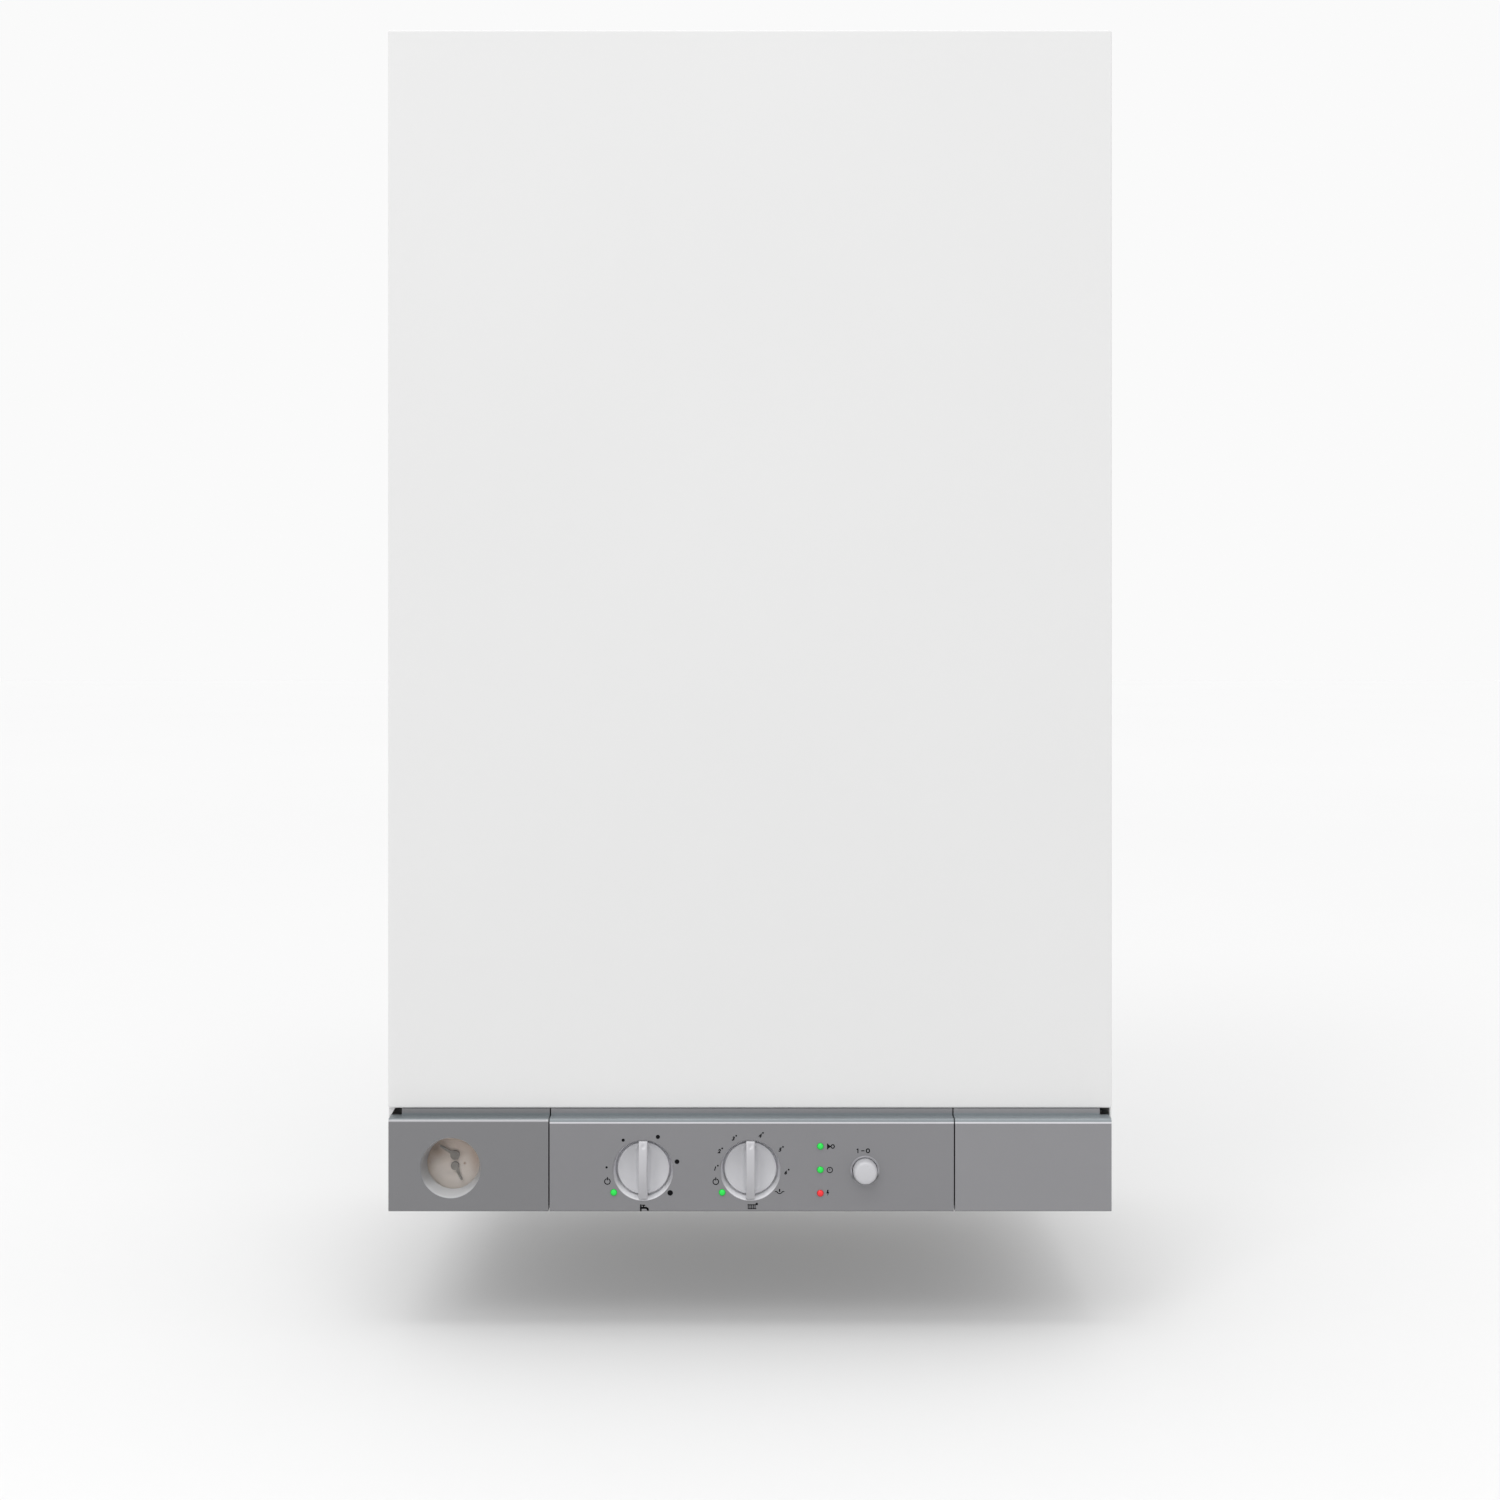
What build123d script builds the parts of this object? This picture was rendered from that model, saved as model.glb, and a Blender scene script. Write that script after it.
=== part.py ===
from build123d import *
import math
import os

os.makedirs("parts", exist_ok=True)

# Wall-hung combination boiler, millimetres, +Z up, front at -Y, +X to the right seen from the front.
# Heights below are counted from the underside line of the control strip and are shifted by HANG when a
# piece is written, so that the origin is the middle of the two wall screws, on the wall plane (y = 0).

# ---------------------------------------------------------------- driving dimensions
HANG = 690.0            # height of the wall screws above the underside line
HALF_W = 225.0          # half width of the casing (450 wide)
TOP = 734.0             # top of the casing
SHEET = 1.0             # casing sheet
COVER_FRONT = -346.0    # front plane of the white cover
COVER_BACK = -304.0     # rear edge of the cover's returns
COVER_LOW = 64.0        # lower edge of the white cover
CASE_FRONT = -302.0     # front flanges of the fixed casing
BASE = 2.5              # lowest edge of the side panels
FLOOR = 68.0            # underside of the floor plate
WEB = -12.0             # front face of the back frame's web

FASCIA_FRONT = -355.0   # front plane of the grey control strip
FASCIA_LOW = 2.2
LEDGE = 59.5            # top of the strip's ledge
LIP_TOP = 63.7          # top of the upstand behind the ledge
LIP_FRONT = -345.4
FASCIA_HALF = 223.2
SPLIT_L = -124.1        # joints between the three strip sections
SPLIT_R = 126.2
SPLIT_GAP = 0.8

FOLD_Y, FOLD_Z = -235.0, 10.0   # axis on which the control unit folds down

KNOB_Z = 27.6
DHW_X, CH_X = -66.0, 0.3
DISC_R, DISH_R, DISH_FLOOR_R = 16.1, 18.8, 16.9
DISH_FLOOR_Y = -346.5
GAUGE_X, GAUGE_Z = -184.9, 29.1
BUTTON_X, BUTTON_Z, BUTTON_R = 71.0, 27.4, 7.5
LED_R = 2.1
LEDS_GREEN = [(-84.1, 14.0), (-17.2, 14.0), (43.4, 42.5), (43.4, 28.0)]
LED_RED = (43.4, 13.5)

STUB_Y = -120.0
STUBS = {  # x: (thread radius, bore, hex across flats)
    -140.0: (13.22, 9.5, 32.0),   # heating flow, G 3/4
    -70.0: (10.48, 7.0, 27.0),    # hot water outlet, G 1/2
    0.0: (13.22, 9.5, 32.0),      # gas, G 3/4
    70.0: (10.48, 7.0, 27.0),     # cold water inlet, G 1/2
    140.0: (13.22, 9.5, 32.0),    # heating return, G 3/4
}
STUB_END = 18.0
RELIEF_X = 195.0

FLUE_Y = -170.0
FLUE_OUT_R, FLUE_IN_R = 50.0, 30.2    # air collar for a 100 mm pipe, flue socket for a 60 mm pipe
FAN_X, FAN_Z, FAN_R = -23.0, 645.0, 55.0

PUMP_X, PUMP_Z = 140.0, 160.0
HX_PASSES = [-272.0, -234.0, -196.0, -158.0, -120.0]
HX_Z = 523.0


# ---------------------------------------------------------------- helpers
def B(x0, x1, y0, y1, z0, z1):
    return Pos((x0 + x1) / 2, (y0 + y1) / 2, (z0 + z1) / 2) * Box(abs(x1 - x0), abs(y1 - y0), abs(z1 - z0))


LOWALIGN = (Align.CENTER, Align.CENTER, Align.MIN)


def CZ(z0, z1, x, y, r):
    return Pos(x, y, z0) * Cylinder(r, z1 - z0, align=LOWALIGN)


def CY(y0, y1, x, z, r):
    return Pos(x, y0, z) * Rot(-90, 0, 0) * Cylinder(r, y1 - y0, align=LOWALIGN)


def CX(x0, x1, y, z, r):
    return Pos(x0, y, z) * Rot(0, 90, 0) * Cylinder(r, x1 - x0, align=LOWALIGN)


def RY(x, z, pts):
    """Revolve (radius, y) points about a line along Y through (x, z)."""
    pl = Plane(origin=(x, 0, z), x_dir=(1, 0, 0), z_dir=(0, 0, 1))
    return revolve(pl * make_face(Polyline(*[(a, b) for a, b in pts], close=True)), Axis((x, 0, z), (0, 1, 0)))


def RZ(x, y, pts):
    """Revolve (radius, height) points about a line along Z through (x, y)."""
    pl = Plane(origin=(x, y, 0), x_dir=(1, 0, 0), z_dir=(0, -1, 0))
    return revolve(pl * make_face(Polyline(*[(a, b) for a, b in pts], close=True)), Axis((x, y, 0), (0, 0, 1)))


def EX(x0, x1, pts):
    """Extrude a (y, z) outline along X."""
    pl = Plane(origin=(x0, 0, 0), x_dir=(0, 1, 0), z_dir=(1, 0, 0))
    return extrude(pl * make_face(Polyline(*pts, close=True)), x1 - x0)


def EZ(z0, z1, pts):
    """Extrude an (x, y) outline along Z."""
    return extrude(Plane(origin=(0, 0, z0)) * make_face(Polyline(*pts, close=True)), z1 - z0)


def hexbar(z0, z1, x, y, flats, turn=0.0):
    return extrude(Plane(origin=(x, y, z0)) * (Rot(0, 0, turn) * RegularPolygon(flats / 2, 6, major_radius=False)), z1 - z0)


def pipe(pts, r, bore, bend):
    path = FilletPolyline(*pts, radius=bend)
    start = Plane(origin=path @ 0, z_dir=path % 0)
    body = sweep(start * Circle(r), path=path)
    if bore:
        body = body - sweep(start * Circle(bore), path=path)
    return body


NODES = {}


def save(name, shapes):
    """Add solids to a node; each stays a separate solid."""
    if not isinstance(shapes, (list, tuple)):
        shapes = [shapes]
    for s in shapes:
        NODES.setdefault(name, []).extend(s.solids())


def write_nodes():
    for name, solids in NODES.items():
        solids = [s.moved(Location((0, 0, -HANG))) for s in solids]
        out = solids[0] if len(solids) == 1 else Compound(children=solids)
        out.label = name
        export_step(out, f"parts/{name}.step")


# ---------------------------------------------------------------- wall bracket and back frame
plate = B(-150, 150, -3, 0, 668, 712)
plate = fillet(plate.edges().filter_by(Axis.Y), 5)
for sx in (-1, 1):
    plate = plate - CY(-4, 1, sx * 110, 690, 4.5)
    plate = plate + B(sx * 50 - 15, sx * 50 + 15, -16, -3, 698, 701)
    plate = plate + B(sx * 50 - 15, sx * 50 + 15, -16, -13.5, 701, 712)
save("wall_bracket", plate)

web = B(-224, 224, WEB, WEB + 1, 4, 732)
for sx in (-1, 1):
    web = web - B(sx * 50 - 18, sx * 50 + 18, WEB - 1, WEB + 2, 686, 701)
frame_flanges = [B(223, 224, -40, WEB, 4, 732), B(-224, -223, -40, WEB, 4, 732), B(-223, 223, -40, WEB, 731, 732),
                 B(-223, 223, -30, WEB, 4, 5)]
save("back_frame", web + frame_flanges)
save("back_frame", [B(150, 190, WEB + 1, 0, 24, 44), B(-190, -150, WEB + 1, 0, 24, 44)])

# ---------------------------------------------------------------- fixed casing
CLIP_X, CLIP_Z = 209.0, (130.0, 660.0)


def side_panel(sign):
    s = EX(224, 225, [(-3, BASE), (-343, BASE), (-343, 63.6), (CASE_FRONT, 63.6), (CASE_FRONT, 733), (-3, 733)])
    s = s + B(202, 224, CASE_FRONT, CASE_FRONT + 1, 70, 714)
    for z in CLIP_Z:
        s = s - CY(CASE_FRONT - 1, CASE_FRONT + 2, CLIP_X, z, 4.0)
    # air slots low in the rear of the side wall
    for k in range(5):
        s = s - B(223, 226, -70, -30, 22 + 8 * k, 25 + 8 * k)
    if sign < 0:
        corner = extrude(Plane(origin=(0, -343, 0), x_dir=(1, 0, 0), z_dir=(0, -1, 0)) * make_face(
            Polyline((224, 63.6), (220.9, 63.6), (223.8, 58.8), (224, 58.8), close=True)), -1)
        s = s + corner
        s = mirror(s, Plane.YZ)
    return s


save("side_panel_right", side_panel(1))
save("side_panel_left", side_panel(-1))

top = B(-225, 225, CASE_FRONT, -3, 733, 734) + B(-223, 223, CASE_FRONT, CASE_FRONT + 1, 715, 733)
top = top - CZ(732, 735, 0, FLUE_Y, 50.5)
save("top_panel", top)

floor_plate = EZ(FLOOR, FLOOR + SHEET, [(-224, CASE_FRONT), (224, CASE_FRONT), (224, -41), (223, -41), (223, WEB), (-223, WEB), (-223, -41), (-224, -41)])
floor_plate = floor_plate + B(-201, 201, CASE_FRONT, CASE_FRONT + 1, FLOOR + SHEET, 85)
for x, (tr, bore, af) in STUBS.items():
    floor_plate = floor_plate - CZ(FLOOR - 1, FLOOR + 2, x, STUB_Y, tr - 0.9)
floor_plate = floor_plate - CZ(FLOOR - 1, FLOOR + 2, RELIEF_X, STUB_Y, 9.0)
save("floor_plate", floor_plate)

gasket = B(-224, 224, -303.7, CASE_FRONT, 70, 733) - B(-216.5, 216.5, -304, -301, 77.5, 725.5)
save("casing_gaskets", gasket)

catches = []
for sx in (-1, 1):
    for z in CLIP_Z:
        catches.append(RY(sx * CLIP_X, z, [(2.8, -303.2), (6.4, -303.2), (6.4, -302), (3.9, -302), (3.9, -301), (6.0, -301), (5.0, -289), (2.8, -289)]))
save("cover_catches", catches)

# ---------------------------------------------------------------- front cover with its studs
cover = B(-HALF_W, HALF_W, COVER_FRONT, COVER_BACK, COVER_LOW, TOP)
cover = fillet(cover.edges().filter_by(Axis.Y), 1.2)
cover = fillet(cover.faces().sort_by(Axis.Y)[0].edges(), 1.0)
cover = cover - B(-HALF_W + SHEET, HALF_W - SHEET, COVER_FRONT + SHEET, COVER_BACK + 1, COVER_LOW + SHEET, TOP - SHEET)
for sx in (-1, 1):
    cover = cover + B(sx * 203, sx * 224, COVER_BACK - 1, COVER_BACK, 90, 710)
cover = cover + B(-150, 150, COVER_BACK - 1, COVER_BACK, 65, 73)
cover = cover + B(-150, 150, COVER_BACK - 1, COVER_BACK, 722, 733)
# two stiffening channels behind the front sheet
for sx in (-1, 1):
    cover = cover + B(sx * 75 - 14, sx * 75 + 14, -345, -341, 74, 724)
    cover = cover - B(sx * 75 - 13, sx * 75 + 13, -345, -342, 73, 725)
for sx in (-1, 1):
    for z in CLIP_Z:
        cover = cover - CY(COVER_BACK - 2, COVER_BACK + 1, sx * CLIP_X, z, 2.35)
save("front_cover", cover)
studs = []
for sx in (-1, 1):
    for z in CLIP_Z:
        studs.append(RY(sx * CLIP_X, z, [(0, -306.5), (4.5, -306.5), (4.5, -305), (2.3, -305), (2.3, -295), (2.6, -294), (2.6, -292.5), (1.4, -291), (0, -291)]))
save("cover_studs", studs)

# ---------------------------------------------------------------- flue connection, hood and fan
flue = RZ(0, FLUE_Y, [(FLUE_OUT_R - 1.6, 736), (72, 736), (72, 738.5), (FLUE_OUT_R, 738.5), (FLUE_OUT_R, 766), (FLUE_OUT_R - 1.6, 766)])
flue = flue + RZ(0, FLUE_Y, [(FLUE_IN_R, 714), (32, 714), (32, 764), (FLUE_IN_R, 764)])
for a in (90, 210, 330):
    rib = Pos(0, FLUE_Y, 0) * Rot(0, 0, a) * B(31.0, 49.0, -1, 1, 737, 748)
    flue = flue + rib
for a in (-60, -120):
    flue = flue + RZ(61.8 * math.cos(math.radians(a)), FLUE_Y + 61.8 * math.sin(math.radians(a)), [(0, 738.0), (7.5, 738.0), (7.5, 744), (0, 744)])
save("flue_socket", flue)
caps = []
for a in (-60, -120):
    cx, cy = 61.8 * math.cos(math.radians(a)), FLUE_Y + 61.8 * math.sin(math.radians(a))
    caps.append(RZ(cx, cy, [(0, 744), (8.6, 744), (8.6, 750.5), (7.6, 751.5), (0, 751.5)]))
save("flue_socket", caps)
save("casing_gaskets", RZ(0, FLUE_Y, [(54, 734), (74, 734), (74, 736), (54, 736)]))

scroll = CY(-196, -144, FAN_X, FAN_Z, FAN_R) + B(-32, 32, -196, -144, FAN_Z, 699)
scroll = scroll + CZ(699, 724, 0, FLUE_Y, 33.6)
scroll = scroll - CY(-194.8, -145.2, FAN_X, FAN_Z, FAN_R - 1.2) - B(-30.8, 30.8, -194.8, -145.2, FAN_Z, 697.8)
scroll = scroll - CZ(697, 725, 0, FLUE_Y, 25.6) - CZ(703, 725, 0, FLUE_Y, 32.1)
scroll = scroll - CY(-197, -194, FAN_X, FAN_Z, 4.4) - CY(-146, -143, FAN_X, FAN_Z, 30)
save("fan_housing", scroll)

motor = RY(FAN_X, FAN_Z, [(4.05, -240), (24, -240), (30, -236), (30, -206), (34, -206), (34, -203), (12, -203), (12, -196), (4.05, -196)])
motor = motor + RY(FAN_X, FAN_Z, [(0, -244), (9, -244), (9, -240), (0, -240)])
for a in (45, 135, 225, 315):
    lx, lz = FAN_X + 38 * math.cos(math.radians(a)), FAN_Z + 38 * math.sin(math.radians(a))
    leg = CY(-206, -196, lx, lz, 3.2) + Pos(FAN_X, 0, FAN_Z) * Rot(0, -a, 0) * B(32, 38, -206, -203, -3.2, 3.2)
    motor = motor + leg
save("fan_motor", motor)

blade = B(34, 49, -184, -155, -0.6, 0.6)
blades = [Pos(FAN_X, 0, FAN_Z) * Rot(0, k * 15, 0) * (Pos(41.5, 0, 0) * Rot(0, 28, 0) * Pos(-41.5, 0, 0) * blade) for k in range(24)]
wheel = RY(FAN_X, FAN_Z, [(0, -222), (4.0, -222), (4.0, -190), (10, -190), (10, -186), (49.5, -186), (49.5, -184), (10, -184), (10, -176), (0, -176)])
wheel = wheel + blades + RY(FAN_X, FAN_Z, [(33, -156), (50, -156), (50, -154), (33, -154)])
save("fan_impeller", wheel)

hood_low = Plane(origin=(0, -197.5, 556)) * Rectangle(300, 185)
hood_top = Plane(origin=(-22.5, -165, 590)) * Rectangle(115, 122)
hood_low_i = Plane(origin=(0, -197.5, 556)) * Rectangle(297.6, 182.6)
hood_top_i = Plane(origin=(-22.5, -165, 589)) * Rectangle(112.6, 119.6)
hood = loft([hood_low, hood_top]) - loft([hood_low_i, hood_top_i])
plenum = B(-78, 32, -144, -104, 590, 684) - B(-76.8, 30.8, -142.8, -105.2, 588, 682.8)
hood = hood - B(-76.8, 30.8, -142.8, -105.2, 585, 592)
hood = hood + plenum
hood = hood - CY(-145, -142, FAN_X, FAN_Z, 30)
hood = hood + (B(-152, 152, -292, -103, 556, 557.2) - B(-148.8, 148.8, -288.8, -106.2, 555, 558))
save("flue_hood", hood)

ring_pl = B(68, 122, -262, -260.5, 612, 733) - B(82, 108, -263, -259, 690, 720)
switch_bracket = ring_pl + B(68, 122, -260.5, -248, 731.5, 733)
save("inner_brackets", switch_bracket)
switch = RY(95, 642, [(0, -288), (11, -288), (11, -283), (22, -283), (26, -279), (26, -269), (28, -269), (28, -266), (26, -266), (26, -262), (0, -262)])
switch = switch + CZ(604, 618, 86, -274, 2.4) + CZ(604, 618, 104, -274, 2.4) + B(88, 102, -296, -288, 637, 647)
save("air_pressure_switch", switch)
hose = pipe([(32, FLUE_Y, 668), (58, FLUE_Y, 668), (62, -178, 600), (84, -262, 590), (104, -274, 590), (104, -274, 604)], 3.0, 2.0, [10, 14, 14, 6])
save("pressure_hose", hose)

# ---------------------------------------------------------------- heat exchanger and combustion chamber
hx_shell = B(-150, 150, -290, -105, 490, 556) - B(-149, 149, -289, -106, 489, 557)
hx_shell = hx_shell + (B(-153, 153, -293, -102, 490, 491.2) - B(-149, 149, -289, -106, 489, 493))
for y in HX_PASSES:
    hx_shell = hx_shell - CX(-155, 155, y, HX_Z, 9.2)
save("heat_exchanger", hx_shell)

fins = [B(x - 0.4, x + 0.4, -287, -108, 497, 549) for x in [-143 + 6.5 * k for k in range(45)]]
tube_cut = [CX(-160, 160, y, HX_Z, 9.0) for y in HX_PASSES]
fins_cut = []
for f in fins:
    fins_cut.append(f - tube_cut)
# four stay rods tie the fins to each other and to the end walls
stays = [CX(-149, 149, y, z, 2.0) for y in (-253, -139) for z in (503, 543)]
fin_pack = fins_cut[0].fuse(*fins_cut[1:], *stays)
save("heat_exchanger", fin_pack)

edges = []
n = len(HX_PASSES)
for k, y in enumerate(HX_PASSES):
    a, b = (-164.0, 164.0) if k % 2 == 0 else (164.0, -164.0)
    edges.append(Line((a, y, HX_Z), (b, y, HX_Z)))
    if k < n - 1:
        y2 = HX_PASSES[k + 1]
        mid = (b + math.copysign(abs(y2 - y) / 2, b), (y + y2) / 2, HX_Z)
        edges.append(ThreePointArc((b, y, HX_Z), mid, (b, y2, HX_Z)))
serp = Wire(edges)
sec = Plane(origin=(-164.0, HX_PASSES[0], HX_Z), z_dir=(1, 0, 0))
tubes = sweep(sec * Circle(8.9), path=serp) - sweep(sec * Circle(7.9), path=serp)
save("heat_exchanger", tubes)

chamber = B(-148, 148, -288, -107, 330, 490) - B(-146.8, 146.8, -286.8, -108.2, 329, 491)
ELECTRODES = (-34.0, -20.0, 30.0)
for x in ELECTRODES:
    chamber = chamber - CY(-290, -285, x, 346, 3.6)
save("combustion_chamber", chamber)
lining = B(-146.8, 146.8, -286.8, -108.2, 340, 489) - B(-134, 134, -274, -121, 339, 490)
for x in ELECTRODES:
    lining = lining - CY(-290, -270, x, 346, 3.8)
save("chamber_lining", lining)

elec = []
for x in ELECTRODES:
    elec.append(RY(x, 346, [(0, -318), (1.6, -318), (1.6, -312), (3.4, -312), (3.4, -297), (5.0, -296), (5.0, -288), (3.4, -288), (3.4, -272), (1.1, -271), (1.1, -258), (0, -258)]))
save("electrodes", elec)

rails = []
for sx in (-1, 1):
    r = B(sx * 139.5, sx * 165, -293, WEB, 328.5, 330) + B(sx * 163.5, sx * 165, -293, WEB, 304, 328.5) + B(sx * 139.5, sx * 165, WEB - 1.5, WEB, 300, 328.5)
    rails.append(r)
save("inner_brackets", rails)

bframe = B(-140, 140, -283, -120, 299, 327) - B(-139, 139, -282, -121, 298, 328)
bframe = bframe + B(140, 148, -283, -120, 327.3, 328.5) + B(-148, -140, -283, -120, 327.3, 328.5)
bframe = bframe + B(139, 140, -283, -120, 327, 328.5) + B(-140, -139, -283, -120, 327, 328.5)
BARS = [-120.0 + 20 * k for k in range(13)]
for x in BARS:
    bframe = bframe - CY(-284, -281, x, 308, 4.5)
save("burner", bframe)
bars = []
slots = [B(-130, 130, y - 0.9, y + 0.9, 331.0, 336) for y in [-274 + 9.0 * k for k in range(17)]]
for x in BARS:
    b = B(x - 6.5, x + 6.5, -282, -121, 301, 335)
    b = chamfer(b.edges().filter_by(Axis.Y).group_by(Axis.Z)[-1], 2.5)
    b = b - B(x - 5.7, x + 5.7, -281.2, -121.8, 301.8, 331.4)
    b = b - CY(-283, -280, x, 308, 4.5)
    b = b - [B(x - 7, x + 7, y - 0.9, y + 0.9, 331.0, 336) for y in [-274 + 9.0 * k for k in range(17)]]
    bars.append(b)
save("burner", bars)

manifold = B(-132, 132, -302.5, -288, 301, 315) - B(-130.5, 130.5, -301, -289.5, 302.5, 313.5)
for x in BARS:
    manifold = manifold - CY(-290.5, -287, x, 308, 2.6)
manifold = manifold - CZ(300, 303, 0, -295.2, 6.5)
manifold = manifold + B(-139, -132, -290, -284.6, 301, 315) + B(132, 139, -290, -284.6, 301, 315)
manifold = manifold + B(-139, -132, -284.6, -283, 301, 315) + B(132, 139, -284.6, -283, 301, 315)
save("gas_manifold", manifold)
jets = []
for x in BARS:
    jets.append(RY(x, 308, [(0, -289), (2.5, -289), (2.5, -288), (4.0, -288), (4.0, -284.5), (2.6, -283.5), (1.6, -278), (0, -278)]))
save("burner_jets", jets)

# ---------------------------------------------------------------- expansion vessel
EVZ, EVY, EVR = 470.0, -57.0, 165.0
vessel = RY(0, EVZ, [(0, EVY - 41), (90, EVY - 39), (135, EVY - 32), (154, EVY - 20), (160, EVY - 6), (160, EVY - 2.5), (EVR, EVY - 2.5), (EVR, EVY + 2.5),
                     (160, EVY + 2.5), (160, EVY + 6), (154, EVY + 20), (135, EVY + 32), (90, EVY + 39), (20, EVY + 41), (20, WEB), (0, WEB)])
vessel = vessel + CZ(EVZ - EVR - 8, EVZ - EVR + 12, 0, EVY, 9)
vessel = vessel - RY(0, EVZ, [(0, EVY - 39), (89, EVY - 37), (134, EVY - 30), (152, EVY - 19), (158, EVY - 5.5), (158, EVY + 5.5), (152, EVY + 19), (134, EVY + 30), (89, EVY + 37), (0, EVY + 39)])
vessel = vessel - CZ(EVZ - EVR - 9, EVZ - EVR + 14, 0, EVY, 5)
save("expansion_vessel", vessel)
save("copper_pipes", pipe([(0, EVY, EVZ - EVR - 8), (0, EVY, 268), (204, EVY, 268), (204, EVY, 98), (204, -100, 98)], 5.0, 4.0, 14))

# ---------------------------------------------------------------- hydraulics
stub_list = []
for x, (tr, bore, af) in STUBS.items():
    s = RZ(x, STUB_Y, [(bore, STUB_END), (tr - 1.0, STUB_END), (tr, STUB_END + 1.5), (tr, 48), (tr - 1.2, 49), (tr - 1.2, 52), (tr - 1.2, 75), (bore, 75)])
    s = s + (hexbar(52, FLOOR, x, STUB_Y, af, 30) - CZ(50, 76, x, STUB_Y, bore))
    stub_list.append(s)
save("pipe_stubs", stub_list)

diverter = B(-166, -114, -146, -96, 75, 166)
diverter = fillet(diverter.edges().filter_by(Axis.Z), 6)
diverter = diverter - CZ(74, 100, -140, STUB_Y, 9.5) - CZ(150, 167, -140, STUB_Y, 8.4)
diverter = diverter - CY(-140, -104, -140, 122, 15) - CY(-147, -139, -140, 122, 3.05)
diverter = diverter - CZ(99, 151, -140, STUB_Y, 8.4) - CX(-130, -113, STUB_Y, 147, 7)
diverter = diverter + RY(-140, 122, [(3.05, -158), (11, -158), (11, -146), (3.05, -146)])
save("diverter_valve", diverter)
save("diverter_stem", RY(-140, 122, [(0, -168), (3.0, -168), (3.0, -126), (12.5, -126), (12.5, -121), (3.0, -121), (3.0, -112), (0, -112)]))
act = B(-162, -118, -206, -158, 98, 146)
act = fillet(act.edges().filter_by(Axis.Y), 5)
act = act - CY(-186, -157, -140, 122, 3.4)
act = act + B(-155, -125, -206, -170, 92, 98)
save("diverter_actuator", act)

plates = B(-92, 92, -95, -27, 90, 166)
plates = fillet(plates.edges().filter_by(Axis.Y), 14)
grooves = [B(-95, 95, y - 0.7, y + 0.7, 80, 180) - fillet(B(-90, 90, -96, -26, 92, 164).edges().filter_by(Axis.Y), 12) for y in [-90 + 4.8 * k for k in range(13)]]
plates = plates - grooves - [B(-82, 82, y - 1.1, y + 1.1, 98, 158) for y in [-87.6 + 4.8 * k for k in range(12)]]
for sx in (-1, 1):
    for z in (108, 147):
        plates = plates + RY(sx * 70, z, [(7.0, -104), (11, -104), (11, -95), (7.0, -95)])
save("plate_heat_exchanger", plates)
save("inner_brackets", [B(60, 84, -27, WEB, 84, 89.9) + B(60, 84, -95, WEB, 88.4, 90), B(-84, -60, -27, WEB, 84, 89.9) + B(-84, -60, -95, WEB, 88.4, 90)])

flow_meter = RZ(70, STUB_Y, [(7.0, 75), (13, 75), (13, 96), (7.0, 96)]) + B(62, 78, -139, -131, 79, 92)
flow_meter = flow_meter - CZ(74, 97, 70, STUB_Y, 7.0)
save("water_sensors", flow_meter)
save("copper_pipes", pipe([(-70, STUB_Y, 75), (-70, STUB_Y, 108), (-70, -104, 108)], 8.0, 7.0, 11))
save("copper_pipes", pipe([(70, STUB_Y, 96), (70, STUB_Y, 108), (70, -104, 108)], 8.0, 7.0, 11))
save("copper_pipes", [pipe([(-114, STUB_Y, 147), (-70, STUB_Y, 147), (-70, -104, 147)], 8.0, 7.0, 11),
                                pipe([(70, -104, 147), (70, -137, 147), (86, -137, 131), (86, -137, 90), (112, -137, 90)], 7.5, 6.5, [9, 9, 9])])

rblock = B(112, 168, -150, -92, 75, 104)
rblock = fillet(rblock.edges().filter_by(Axis.Z), 5)
rblock = rblock - CZ(74, 105, 140, STUB_Y, 9.5) - CX(111, 140, -137, 90, 6.5) - CX(140, 169, STUB_Y, 98, 5)
rblock = rblock + CY(-162, -150, 140, 90, 8)
save("return_block", rblock)

PY0 = -148.0
volute = RY(PUMP_X, PUMP_Z, [(0, -96), (38, -96), (44, -102), (44, -142), (47, -142), (47, PY0), (0, PY0)])
volute = volute + CZ(104, 122, PUMP_X, STUB_Y, 15) + CZ(198, 216, PUMP_X, STUB_Y, 15)
volute = volute - RY(PUMP_X, PUMP_Z, [(0, -102), (36, -102), (39, -106), (39, PY0 - 1), (0, PY0 - 1)])
volute = volute - CZ(103, 124, PUMP_X, STUB_Y, 9.5) - CZ(196, 217, PUMP_X, STUB_Y, 9.5)
save("pump_body", volute)
pmotor = RY(PUMP_X, PUMP_Z, [(0, -220), (14, -220), (17, -217), (36, -217), (40, -213), (40, -158), (46, -158), (46, PY0), (5.05, PY0), (5.05, -152),
                             (22, -152), (22, -206), (4.05, -206), (4.05, -214), (0, -214)])
tbox = B(112, 168, -212, -160, 199.5, 226)
tbox = fillet(tbox.edges().filter_by(Axis.Z), 5)
tbox = tbox + B(118, 162, -208, -164, 190, 200) - CY(-216, -158, PUMP_X, PUMP_Z, 39)
pmotor = pmotor + tbox
for a in range(0, 360, 30):
    if 50 < a < 130:
        continue
    pmotor = pmotor + Pos(PUMP_X, 0, PUMP_Z) * Rot(0, -a, 0) * B(39, 43.5, -212, -162, -1.2, 1.2)
save("pump_motor", pmotor)
vanes = [Pos(PUMP_X, 0, PUMP_Z) * Rot(0, k * 60, 0) * Pos(20, 0, 0) * Rot(0, 35, 0) * B(-13, 12, -136, -122, -1, 1) for k in range(6)]
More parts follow.
